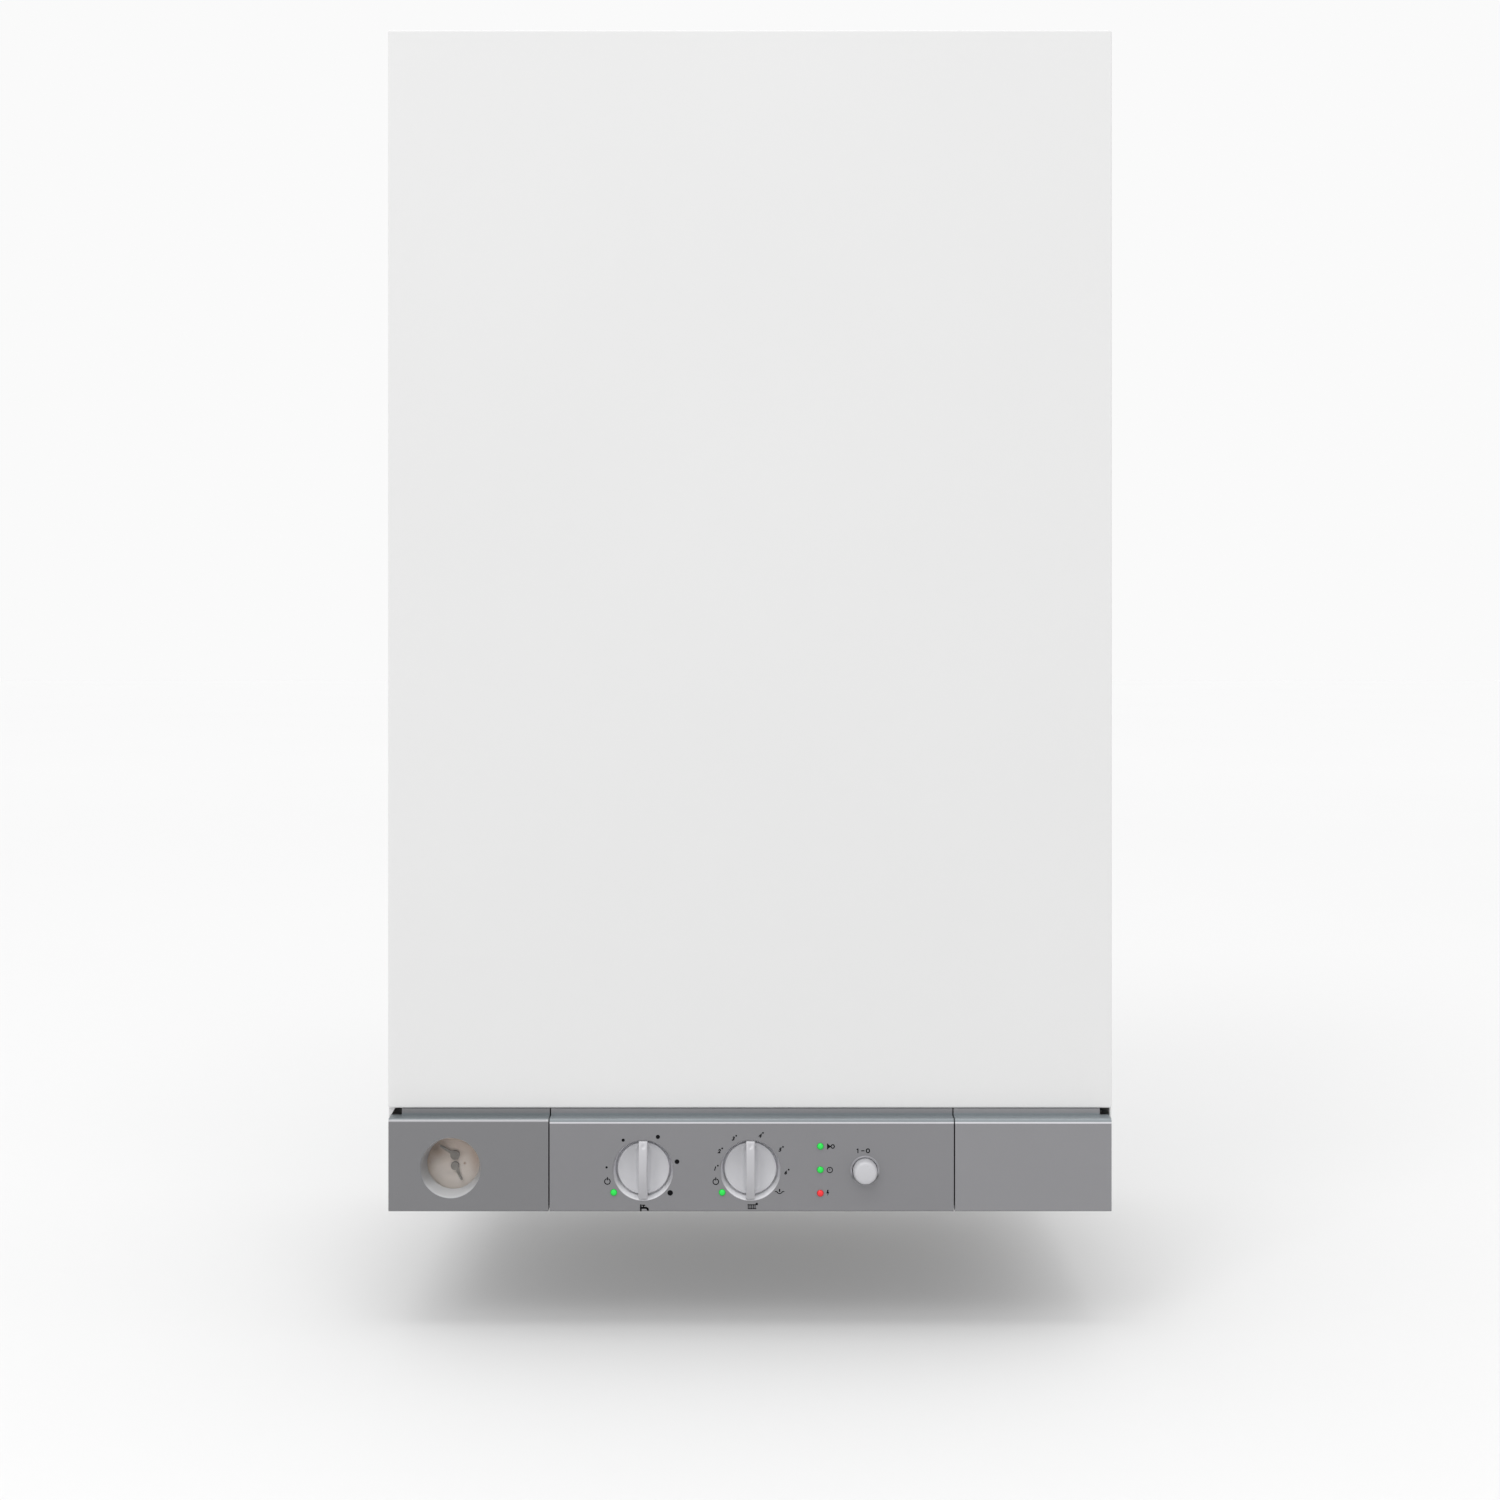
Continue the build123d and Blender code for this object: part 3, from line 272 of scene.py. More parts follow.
# The three section greys step lighter from left to right: a painted light gradient. Each pocket is x, zb, radius,
# crescent colour, ring radius (0 for none), gain of the rim lightening; all of it is painted light in the knob and
# gauge recesses and around the power button.
STRIP_L = strip_finish("strip_satin_left", (0.180, 0.180, 0.187), [(-184.9, 29.1, 18.75, (0.62, 0.63, 0.645), 0, 1)])
STRIP_C = strip_finish("strip_satin_centre", (0.209, 0.208, 0.218), [(-66.0, 27.6, 18.75, CUP_PAINTED_HIGHLIGHT, 17.8, 1), (0.3, 27.6, 18.75, CUP_PAINTED_HIGHLIGHT, 17.8, 1), (71.0, 27.4, 9.3, (0.34, 0.34, 0.35), 8.3, 0.72)], (56.75, 57.25, 3.0))
STRIP_R = strip_finish("strip_satin_right", (0.237, 0.236, 0.247), [], (56.75, 57.25, 2.85))
# The forward grip bar is coloured darker than the disc face of the same moulding: painted shade.
KNOB = zoned("knob_silver_grey", ("Y", [(-0.3555, (0.445, 0.442, 0.463)), (-0.3530, (0.46, 0.457, 0.478)), (-0.3496, (0.57, 0.57, 0.592)), (-0.3460, (0.56, 0.56, 0.583))]), 0.32, metallic=0.12, grain=(5000, 0.04, 0.00003), coat=0.3)
BUTTON = surface("button_off_white", (0.50, 0.50, 0.522), 0.30, mottle=0.01, mottle_scale=80, dr=0.03, grain=(4500, 0.08, 0.00004), coat=0.3, coat_rough=0.15)
MARK = surface("printed_marks_ink", (0.006, 0.006, 0.007), 0.9, mottle=0.08, mottle_scale=400, grain=(6000, 0.1, 0.00002), spec=0.08)
NEEDLE = surface("needle_dark_brown", (0.155, 0.135, 0.115), 0.55, mottle=0.08, mottle_scale=250, grain=(3000, 0.1, 0.00005))
TRAY = surface("tray_dark_grey", (0.055, 0.056, 0.06), 0.55, mottle=0.05, grain=(1500, 0.25, 0.0002))
BLACK = surface("black_moulding", (0.018, 0.018, 0.02), 0.45, mottle=0.1, grain=(1600, 0.25, 0.0002))
RED_PLASTIC = surface("red_moulding", (0.52, 0.03, 0.025), 0.38, mottle=0.05, grain=(1500, 0.15, 0.0002), coat=0.2)
GALV = spangle("zinc_sheet", (0.43, 0.445, 0.46), 0.40, 170.0)
GALV_FINE = spangle("zinc_sheet_fine", (0.50, 0.51, 0.53), 0.36, 320)
STAINLESS = surface("stainless_brushed", (0.60, 0.59, 0.575), 0.30, metallic=1.0, mottle=0.04, dr=0.08, grain=(700, 0.12, 0.0002), stretch=(1, 0.06, 1))
ALUMINISED = surface("aluminised_sheet", (0.62, 0.62, 0.61), 0.46, metallic=0.95, mottle=0.07, mottle_scale=35, dr=0.08, grain=(450, 0.25, 0.0003), speck=(700, 0.08))
COPPER = surface("copper_tube", (0.75, 0.37, 0.235), 0.30, metallic=1.0, mottle=0.12, mottle_scale=22, dr=0.10, grain=(500, 0.10, 0.0002), speck=(120, 0.12))
BRASS = surface("turned_brass", (0.72, 0.54, 0.26), 0.34, metallic=1.0, mottle=0.10, mottle_scale=45, dr=0.08, grain=(900, 0.16, 0.0002), speck=(260, 0.10))
CAST_ALU = surface("cast_aluminium_skin", (0.58, 0.585, 0.59), 0.48, metallic=0.95, mottle=0.06, mottle_scale=60, dr=0.08, grain=(750, 0.5, 0.0004), speck=(900, 0.06))
PUMP_IRON = surface("cast_iron_skin", (0.075, 0.075, 0.08), 0.58, metallic=0.35, mottle=0.12, mottle_scale=60, dr=0.08, grain=(420, 0.7, 0.0006))
PUMP_RED = surface("pump_dark_red", (0.30, 0.022, 0.022), 0.38, mottle=0.05, mottle_scale=30, grain=(420, 0.3, 0.0004), coat=0.25, coat_rough=0.25)
VESSEL_RED = surface("vessel_red_enamel", (0.52, 0.035, 0.025), 0.32, mottle=0.05, mottle_scale=12, grain=(260, 0.18, 0.0004), coat=0.4, coat_rough=0.15)
FIBRE = surface("ceramic_fibre_board", (0.78, 0.76, 0.71), 0.95, mottle=0.07, mottle_scale=60, grain=(500, 0.8, 0.0010), spec=0.2)
RUBBER = surface("black_rubber", (0.016, 0.016, 0.017), 0.75, mottle=0.1, grain=(900, 0.3, 0.0003), spec=0.3)
GAUGE_CASE = surface("gauge_cream_case", (0.62, 0.57, 0.50), 0.5, mottle=0.05, grain=(1500, 0.15, 0.0001))


def glass():
    """Thin clear window with a faint dusty haze."""
    m, nt, b = new_mat("gauge_window_glass")
    b.inputs["Base Color"].default_value = (0.80, 0.82, 0.82, 1)
    b.inputs["IOR"].default_value = 1.46
    haze = noise(nt, coords(nt), 160, 4)
    nt.links.new(remap(nt, haze, 0.03, 0.07), b.inputs["Alpha"])
    nt.links.new(remap(nt, haze, 0.04, 0.10), b.inputs["Roughness"])
    return m


def lamp(name, deep, bright, glow):
    """Moulded light pipe: saturated body, brighter in the middle of the dome."""
    m, nt, b = new_mat(name)
    tc = nt.nodes.new("ShaderNodeTexCoord")
    lw = nt.nodes.new("ShaderNodeLayerWeight")
    lw.inputs["Blend"].default_value = 0.35
    col = ramp(nt, lw.outputs["Facing"], [(0.0, bright), (0.75, deep)])
    nt.links.new(col, b.inputs["Base Color"])
    nt.links.new(col, b.inputs["Emission Color"])
    b.inputs["Emission Strength"].default_value = glow
    nt.links.new(remap(nt, noise(nt, coords(nt), 900), 0.16, 0.22), b.inputs["Roughness"])
    b.inputs["Specular IOR Level"].default_value = 0.25
    b.inputs["Coat Weight"].default_value = 0.2
    b.inputs["Coat Roughness"].default_value = 0.08
    nt.nodes.remove(tc)
    return m


def dial_mat():
    """Cream dial, darker and browner towards the top; warm stain towards the upper left rim, a small brown fleck,
    faint smudges.
    """
    m, nt, b = new_mat("gauge_dial_face")
    c = P(-184.9, -336.0, 29.1)
    tc = nt.nodes.new("ShaderNodeTexCoord")

    def blob(x, zb, sx, sz, soft):
        mp = nt.nodes.new("ShaderNodeMapping")
        p = P(x, -336.0, zb)
        mp.vector_type = "POINT"
        mp.inputs["Scale"].default_value = (1000.0 / sx, 0.0, 1000.0 / sz)
        mp.inputs["Location"].default_value = (-p.x * 1000.0 / sx, 0.0, -p.z * 1000.0 / sz)
        nt.links.new(tc.outputs["Object"], mp.inputs["Vector"])
        ln = nt.nodes.new("ShaderNodeVectorMath")
        ln.operation = "LENGTH"
        nt.links.new(mp.outputs["Vector"], ln.inputs[0])
        return remap(nt, ln.outputs["Value"], 1.0, 0.0, soft, 1.0)

    sep = nt.nodes.new("ShaderNodeSeparateXYZ")
    nt.links.new(tc.outputs["Object"], sep.inputs["Vector"])
    base = ramp(nt, remap(nt, sep.outputs["Z"], 0.0, 1.0, P(0, 0, 12).z, P(0, 0, 46).z), [(0.0, (0.71, 0.645, 0.59)), (0.45, (0.66, 0.58, 0.52)), (0.75, (0.56, 0.455, 0.385)), (1.0, (0.50, 0.39, 0.32))])

    tone = nt.nodes.new("ShaderNodeMix")
    tone.data_type = "RGBA"
    tone.blend_type = "MULTIPLY"
    tone.inputs["Factor"].default_value = 1.0
    nt.links.new(base, tone.inputs["A"])
    nt.links.new(ramp(nt, noise(nt, coords(nt), 110, 4, 0.5), [(0.3, (0.93, 0.92, 0.91)), (0.7, (1.0, 1.0, 1.0))]), tone.inputs["B"])
    base = tone.outputs["Result"]

    def over(below, fac, colour, amount):
        mix = nt.nodes.new("ShaderNodeMix")
        mix.data_type = "RGBA"
        k = nt.nodes.new("ShaderNodeMath")
        k.operation = "MULTIPLY"
        k.inputs[1].default_value = amount
        nt.links.new(fac, k.inputs[0])
        nt.links.new(k.outputs["Value"], mix.inputs["Factor"])
        nt.links.new(below, mix.inputs["A"])
        mix.inputs["B"].default_value = (*colour, 1)
        return mix.outputs["Result"]

    col = over(base, blob(-197.0, 36.0, 12.5, 10.5, 0.05), (0.20, 0.135, 0.09), 0.9)
    col = over(col, blob(-201.5, 28.5, 6.0, 9.0, 0.1), (0.28, 0.19, 0.13), 0.6)
    col = over(col, blob(-178.6, 27.2, 1.2, 1.2, 0.2), (0.25, 0.13, 0.07), 0.8)
    col = over(col, blob(-171.5, 31.0, 5.0, 12.0, 0.2), (0.52, 0.36, 0.26), 0.5)
    col = over(col, blob(-187.0, 21.0, 5.0, 2.4, 0.2), (0.46, 0.40, 0.36), 0.35)
    nt.links.new(col, b.inputs["Base Color"])
    nt.links.new(remap(nt, noise(nt, coords(nt), 300), 0.6, 0.75), b.inputs["Roughness"])
    return m


def board_mat():
    m, nt, b = new_mat("board_laminate")
    br = nt.nodes.new("ShaderNodeTexBrick")
    br.inputs["Scale"].default_value = 160.0
    br.inputs["Mortar Size"].default_value = 0.06
    br.inputs["Color1"].default_value = (0.012, 0.13, 0.05, 1)
    br.inputs["Color2"].default_value = (0.018, 0.16, 0.065, 1)
    br.inputs["Mortar"].default_value = (0.03, 0.22, 0.09, 1)
    mp = nt.nodes.new("ShaderNodeMapping")
    mp.inputs["Rotation"].default_value = (math.radians(90), 0, 0)
    tc = nt.nodes.new("ShaderNodeTexCoord")
    nt.links.new(tc.outputs["Object"], mp.inputs["Vector"])
    nt.links.new(mp.outputs["Vector"], br.inputs["Vector"])
    nt.links.new(br.outputs["Color"], b.inputs["Base Color"])
    nt.links.new(remap(nt, noise(nt, coords(nt), 200), 0.25, 0.4), b.inputs["Roughness"])
    return m


def patchwork(name, base, patches, grain=(900, 0.15, 0.00015), mottle=0.05, thread=None):
    """One node made of several finishes. base is (colour, roughness, metallic); every patch adds a region in
    millimetres with its own finish: ("box", x0, x1, y0, y1, zb0, zb1) or ("round", x, zb, radius, y0, y1)."""
    m, nt, b = new_mat(name)
    tc = nt.nodes.new("ShaderNodeTexCoord")
    sep = nt.nodes.new("ShaderNodeSeparateXYZ")
    nt.links.new(tc.outputs["Object"], sep.inputs["Vector"])

    def math_node(op, a, *values):
        q = nt.nodes.new("ShaderNodeMath")
        q.operation = op
        nt.links.new(a, q.inputs[0])
        for k, v in enumerate(values):
            if isinstance(v, (int, float)):
                q.inputs[k + 1].default_value = v
            else:
                nt.links.new(v, q.inputs[k + 1])
        return q.outputs["Value"]

    def within(axis, lo, hi):
        return math_node("COMPARE", sep.outputs[axis], (lo + hi) / 2, (hi - lo) / 2)

    def solid(value):
        rgb = nt.nodes.new("ShaderNodeRGB")
        rgb.outputs[0].default_value = (*value, 1)
        return rgb.outputs[0]

    def number(value):
        v = nt.nodes.new("ShaderNodeValue")
        v.outputs[0].default_value = value
        return v.outputs[0]

    col, rough, metal = solid(base[0]), number(base[1]), number(base[2])
    for region, finish in patches:
        if region[0] == "box":
            x0, x1, y0, y1, z0, z1 = region[1:]
            a, c = P(x0, y0, z0), P(x1, y1, z1)
            mask = math_node("MULTIPLY", within("X", a.x, c.x), math_node("MULTIPLY", within("Y", a.y, c.y), within("Z", a.z, c.z)))
        else:
            x, z, r, y0, y1 = region[1:]
            c = P(x, 0, z)
            dx = math_node("SUBTRACT", sep.outputs["X"], c.x)
            dz = math_node("SUBTRACT", sep.outputs["Z"], c.z)
            rr = math_node("ADD", math_node("MULTIPLY", dx, dx), math_node("MULTIPLY", dz, dz))
            mask = math_node("MULTIPLY", math_node("LESS_THAN", rr, (r / 1000.0) ** 2), within("Y", y0 / 1000.0, y1 / 1000.0))
        for k, value in enumerate(finish):
            mix = nt.nodes.new("ShaderNodeMix")
            mix.data_type = "RGBA" if k == 0 else "FLOAT"
            nt.links.new(mask, mix.inputs["Factor"])
            nt.links.new((col, rough, metal)[k], mix.inputs["A"])
            nt.links.new(solid(value) if k == 0 else number(value), mix.inputs["B"])
            if k == 0:
                col = mix.outputs["Result"]
            elif k == 1:
                rough = mix.outputs["Result"]
            else:
                metal = mix.outputs["Result"]
    tone = nt.nodes.new("ShaderNodeMix")
    tone.data_type = "RGBA"
    tone.blend_type = "MULTIPLY"
    tone.inputs["Factor"].default_value = 1.0
    nt.links.new(col, tone.inputs["A"])
    nt.links.new(ramp(nt, noise(nt, coords(nt), 55, 4, 0.6), [(0.3, (1 - 2 * mottle,) * 3), (0.7, (1.0,) * 3)]), tone.inputs["B"])
    nt.links.new(tone.outputs["Result"], b.inputs["Base Color"])
    nt.links.new(math_node("ADD", rough, remap(nt, noise(nt, coords(nt), 140), -0.05, 0.05)), b.inputs["Roughness"])
    nt.links.new(metal, b.inputs["Metallic"])
    first = bump(nt, b, noise(nt, coords(nt), grain[0], 2, 0.6), grain[1], grain[2])
    if thread:
        pitch, z0, z1 = thread
        wave = nt.nodes.new("ShaderNodeTexWave")
        wave.bands_direction = "Z"
        wave.inputs["Scale"].default_value = 2 * math.pi / (20 * pitch / 1000.0)
        nt.links.new(tc.outputs["Object"], wave.inputs["Vector"])
        height = math_node("MULTIPLY", wave.outputs["Fac"], within("Z", P(0, 0, z0).z, P(0, 0, z1).z))
        bump(nt, b, height, 1.0, 0.0009, first)
    return m


ZINC = ((0.50, 0.51, 0.53), 0.34, 0.95)
NICKEL = ((0.62, 0.61, 0.59), 0.22, 1.0)
JET_BLACK = ((0.018, 0.018, 0.02), 0.42, 0.0)
PALE = ((0.72, 0.71, 0.67), 0.45, 0.0)
BRASS_F = ((0.70, 0.52, 0.25), 0.34, 1.0)
DULL_IRON = ((0.16, 0.155, 0.15), 0.5, 0.6)

ELECTRODE = patchwork("electrode_ceramic_and_wire", ((0.86, 0.84, 0.79), 0.22, 0.0),
                      [(("box", -60, 60, -320, -311.8, 330, 360), NICKEL), (("box", -60, 60, -272.2, -250, 330, 360), ((0.24, 0.20, 0.18), 0.5, 0.9))], grain=(600, 0.05, 0.0001), mottle=0.03)
FAN_MOTOR = patchwork("fan_motor_finishes", ZINC, [(("round", -23.0, 645.0, 31.0, -241.0, -206.1), ((0.035, 0.036, 0.04), 0.38, 0.2)), (("round", -23.0, 645.0, 9.2, -246.0, -240.1), PALE),
                                                    (("round", -23.0, 645.0, 24.0, -240.9, -239.0), DULL_IRON)], grain=(700, 0.3, 0.0003))
AIR_SWITCH = patchwork("air_switch_finishes", ((0.06, 0.062, 0.066), 0.4, 0.0),
                       [(("box", 60, 130, -269.3, -265.7, 605, 680), ZINC), (("box", 80, 110, -297, -288.1, 630, 655), PALE), (("box", 80, 110, -290, -258, 600, 615.0), ((0.65, 0.64, 0.60), 0.4, 0.0)),
                        (("box", 60, 130, -265.6, -260, 605, 680), ((0.32, 0.325, 0.33), 0.42, 0.0))])
ACTUATOR = patchwork("diverter_actuator_finishes", JET_BLACK, [(("box", -160, -120, -210, -165, 90, 97.9), PALE), (("box", -170, -110, -161.5, -157, 90, 150), ((0.30, 0.30, 0.31), 0.45, 0.0))])
GAS_COILS = patchwork("gas_coil_finishes", ((0.022, 0.022, 0.025), 0.36, 0.0), [(("box", -30, 30, -230, -222.1, 100, 140), NICKEL), (("box", -30, 30, -196.5, -189, 100, 140), ((0.10, 0.10, 0.105), 0.5, 0.1))])
GAS_VALVE = patchwork("gas_valve_casting", ((0.56, 0.565, 0.57), 0.46, 0.95), [(("box", -30, 30, -140, -100, 70, 91.9), BRASS_F), (("box", -30, 30, -191, -186.5, 90, 148), ((0.46, 0.47, 0.48), 0.36, 0.95))],
                      grain=(650, 0.55, 0.0005))
SENSORS = patchwork("sensor_finishes", JET_BLACK, [(("box", 55, 85, -135, -105, 74, 97), PALE), (("box", -205, -180, -293.05, -280, 440, 460), NICKEL), (("box", -205, -180, -296, -293.1, 440, 460), PALE),
                                                   (("box", -205, -180, -289.05, -280, 320, 340), BRASS_F)])
ON_BOARD = patchwork("board_part_finishes", JET_BLACK, [
    (("box", -101, -59, -330, -305, 13, 41), ((0.28, 0.27, 0.26), 0.5, 0.7)), (("box", -92, -68, -330, -305, 13, 41), ((0.60, 0.42, 0.10), 0.5, 0.0)),
    (("box", -25, -5, -330, -313, 11, 31), ((0.75, 0.23, 0.03), 0.4, 0.0)), (("box", -49, -29, -330, -313, 11, 31), ((0.03, 0.09, 0.30), 0.4, 0.0)),
    (("box", 14, 34, -330, -304, 20, 40), ((0.03, 0.05, 0.14), 0.3, 0.0)), (("box", 14, 34, -305.9, -304, 20, 40), NICKEL), (("box", 65, 105, -330, -316, 33, 51), ((0.05, 0.32, 0.10), 0.42, 0.0)),
    (("box", 61, 109, -330, -319, 11, 21), PALE), (("box", -80, 20, -340, -331, 10, 50), ((0.26, 0.26, 0.27), 0.4, 0.3))])
PUMP_MOTOR = patchwork("pump_motor_finishes", ((0.31, 0.020, 0.020), 0.36, 0.0), [(("box", 110, 170, -214, -158, 203, 228), JET_BLACK), (("round", 140.0, 160.0, 14.6, -222, -217.2), BRASS_F)], grain=(420, 0.3, 0.0004))
VENT = patchwork("air_vent_finishes", BRASS_F, [(("box", 120, 160, -160, -125, 249.1, 256), JET_BLACK)])
STUB_BRASS = patchwork("threaded_brass", BRASS_F, [(("box", -160, 160, -150, -90, 52.2, 68), ((0.66, 0.50, 0.25), 0.30, 1.0))], thread=(1.814, 19.4, 48.2))
FLUE_CAST = patchwork("flue_casting_and_caps", ((0.58, 0.585, 0.59), 0.48, 0.95), [(("box", 22, 40, -232.6, -215.2, 743.95, 752), JET_BLACK), (("box", -40, -22, -232.6, -215.2, 743.95, 752), JET_BLACK)],
                      grain=(750, 0.5, 0.0004), mottle=0.04)
BURNER_STEEL = zoned("burner_steel_heat_tinted", ("Z", [(P(0, 0, 298).z, (0.56, 0.55, 0.53)), (P(0, 0, 326).z, (0.56, 0.54, 0.51)), (P(0, 0, 331).z, (0.44, 0.36, 0.29)), (P(0, 0, 333.5).z, (0.30, 0.26, 0.31)), (P(0, 0, 335.5).z, (0.24, 0.25, 0.33))]),
                     0.36, metallic=1.0, grain=(700, 0.15, 0.0002))

GLASS = glass()
LAMP_G = lamp("lamp_green_pipe", (0.003, 0.15, 0.02), (0.02, 0.66, 0.075), 0.16)
LAMP_R = lamp("lamp_red_pipe", (0.24, 0.006, 0.006), (0.78, 0.028, 0.035), 0.16)
DIAL = dial_mat()
BOARD = board_mat()


def paint(node, m):
    o = NODES[node]
    if not o.material_slots:
        o.data.materials.append(m)
    for s in o.material_slots:
        s.material = m


for node, m in {
    "front_cover": ENAMEL, "side_panel_left": ENAMEL, "side_panel_right": ENAMEL, "top_panel": ENAMEL,
    "fascia_left": STRIP_L, "fascia_centre": STRIP_C, "fascia_right": STRIP_R,
    "wall_bracket": GALV, "back_frame": GALV, "floor_plate": GALV, "inner_brackets": GALV_FINE, "fan_housing": GALV_FINE, "cover_studs": GALV_FINE,
    "casing_gaskets": RUBBER, "pressure_hose": RUBBER, "cover_catches": BLACK, "cable_gland": BLACK, "air_pressure_switch": AIR_SWITCH,
    "flue_socket": FLUE_CAST, "flue_hood": ALUMINISED, "combustion_chamber": ALUMINISED, "chamber_lining": FIBRE, "electrodes": ELECTRODE,
    "burner": BURNER_STEEL, "fan_impeller": STAINLESS, "pump_rotor": STAINLESS, "diverter_stem": STAINLESS, "plate_heat_exchanger": STAINLESS, "fold_pins": STAINLESS,
    "gas_manifold": CAST_ALU, "gas_valve": GAS_VALVE, "burner_jets": BRASS, "heat_exchanger": COPPER, "copper_pipes": COPPER,
    "pipe_stubs": STUB_BRASS, "diverter_valve": BRASS, "return_block": BRASS, "air_vent": VENT, "filling_tap": BRASS,
    "diverter_actuator": ACTUATOR, "fan_motor": FAN_MOTOR, "gas_valve_coils": GAS_COILS, "water_sensors": SENSORS, "board_components": ON_BOARD, "filling_tap_knob": BLACK,
    "pump_body": PUMP_IRON, "pump_motor": PUMP_MOTOR, "relief_valve_knob": RED_PLASTIC, "expansion_vessel": VESSEL_RED,
    "control_tray": TRAY, "control_lid": TRAY, "control_board": BOARD,
    "gauge_case": GAUGE_CASE, "gauge_glass": GLASS, "pressure_needle": NEEDLE, "temperature_needle": NEEDLE,
    "hot_water_knob": KNOB, "heating_knob": KNOB, "power_button": BUTTON, "indicator_lights": LAMP_G,
}.items():
    paint(node, m)


# ------------------------------------------------------------------ mesh helpers
def mesh_object(name, verts, faces, mat, smooth=True, angle=35.0):
    me = bpy.data.meshes.new(name)
    me.from_pydata([tuple(v) for v in verts], [], faces)
    bm = bmesh.new()
    bm.from_mesh(me)
    bmesh.ops.remove_doubles(bm, verts=bm.verts, dist=1e-7)
    bmesh.ops.recalc_face_normals(bm, faces=bm.faces)
    bm.to_mesh(me)
    bm.free()
    me.materials.append(mat)
    if smooth:
        me.shade_smooth()
        me.set_sharp_from_angle(angle=math.radians(angle))
    o = bpy.data.objects.new(name, me)
    bpy.context.scene.collection.objects.link(o)
    return o


def lathe(profile, cx, czb, segs=128):
    """Rings about a line along Y: profile is (radius, y) in millimetres. Returns vertices and faces."""
    verts, faces, rings = [], [], []
    for r, y in profile:
        if r < 1e-6:
            rings.append([len(verts)])
            verts.append(P(cx, y, czb))
        else:
            ring = []
            for k in range(segs):
                a = 2 * math.pi * k / segs
                ring.append(len(verts))
                verts.append(P(cx + r * math.cos(a), y, czb + r * math.sin(a)))
            rings.append(ring)
    for a, b in zip(rings, rings[1:]):
        if len(a) == 1 and len(b) == 1:
            continue
        for k in range(segs):
            q = (k + 1) % segs
            if len(a) == 1:
                faces.append((a[0], b[k], b[q]))
            elif len(b) == 1:
                faces.append((a[k], a[q], b[0]))
            else:
                faces.append((a[k], a[q], b[q], b[k]))
    return verts, faces


def merged(parts):
    verts, faces = [], []
    for v, f in parts:
        n = len(verts)
        verts += v
        faces += [tuple(i + n for i in q) for q in f]
    return verts, faces


# ------------------------------------------------------------------ knobs
KNOB_Z = 27.6


def knob_disc(kx):
    segs, back = 192, [(0, -346.9), (8, -346.9), (15.8, -346.9), (16.03, -347.0), (16.1, -347.2), (16.1, -348.9), (16.05, -349.15), (15.9, -349.34), (15.7, -349.42), (15.45, -349.4)]
    verts, faces = lathe(back, kx, KNOB_Z, segs)
    last = list(range(len(verts) - segs, len(verts)))
    radii = [15.3 - 0.34 * k for k in range(45)]
    rings = [last]
    for r in radii:
        ring = []
        for k in range(segs):
            a = 2 * math.pi * k / segs
            x, z = r * math.cos(a), r * math.sin(a)
            y = -347.4 - 1.98 * (r / 15.4) ** 2
            side = abs(x)
            fade = max(0.0, min(1.0, (15.3 - r) / 4.0))
            fade = fade * fade * (3 - 2 * fade)
            if side < 2.5:
                h = 4.0
            else:
                t = max(0.0, 1 - (side - 2.5) / 4.6)
                h = 4.0 * t ** 3.0
            ring.append(len(verts))
            verts.append(P(kx + x, y - h * fade, KNOB_Z + z))
        rings.append(ring)
    for a, b in zip(rings, rings[1:]):
        for k in range(segs):
            q = (k + 1) % segs
            faces.append((a[k], a[q], b[q], b[k]))
    c = len(verts)
    verts.append(P(kx, -353.0, KNOB_Z))
    for k in range(segs):
        faces.append((rings[-1][k], rings[-1][(k + 1) % segs], c))
    return verts, faces


def knob_bar(kx):
    """Grip bar: a lofted closed form with soft long edges, a slight waist and a small pointer dimple near its top."""
    stations = [18.25 * math.sin(math.pi / 2 * (-1 + 2 * k / 88)) for k in range(89)]
    verts, faces, rings = [], [], []
    for z in stations:
        s = abs(z) / 18.25
        yf = -354.7 - 6.4 * (1 - s * s)
        end = max(0.0, abs(z) - 17.35) / 0.9
        yf += 0.75 * (1 - math.sqrt(max(0.0, 1 - end * end)))
        if abs(z) < 15.4:
            yb = -348.2
        elif abs(z) < 17.0:
            yb = -348.2 - 2.2 * (abs(z) - 15.4) / 1.6
        else:
            yb = -350.4 - 3.2 * (abs(z) - 17.0) / 1.25
        yb = max(yb, yf + 0.25)
        w = 2.62 + 0.20 * s * s
        w -= 0.35 * (1 - math.sqrt(max(0.0, 1 - end * end)))
        rc = min(0.75, (yb - yf) * 0.45)
        sec = [(-w, yb), (-w, yb + (yf + rc - yb) * 0.5)]
        for k in range(7):
            a = math.pi / 2 * k / 6
            sec.append((-w + rc - rc * math.cos(a), yf + rc - rc * math.sin(a)))
        for k in range(1, 12):
            sec.append((-w + rc + (2 * w - 2 * rc) * k / 12, yf))
        for k in range(7):
            a = math.pi / 2 * k / 6
            sec.append((w - rc + rc * math.sin(a), yf + rc - rc * math.cos(a)))
        sec += [(w, yb + (yf + rc - yb) * 0.5), (w, yb)]
        ring = []
        for x, y in sec:
            d = math.hypot(x, (z - 14.9) * 1.0)
            if y < yf + 0.3 and d < 1.75:
                t = 1 - d / 1.75
                y += 0.42 * t * t * (3 - 2 * t)
            ring.append(len(verts))
            verts.append(P(kx + x, y, KNOB_Z + z))
        rings.append(ring)
    n = len(rings[0])
    for a, b in zip(rings, rings[1:]):
        for k in range(n):
            q = (k + 1) % n
            faces.append((a[k], a[q], b[q], b[k]))
    faces.append(tuple(rings[0]))
    faces.append(tuple(reversed(rings[-1])))
    return verts, faces


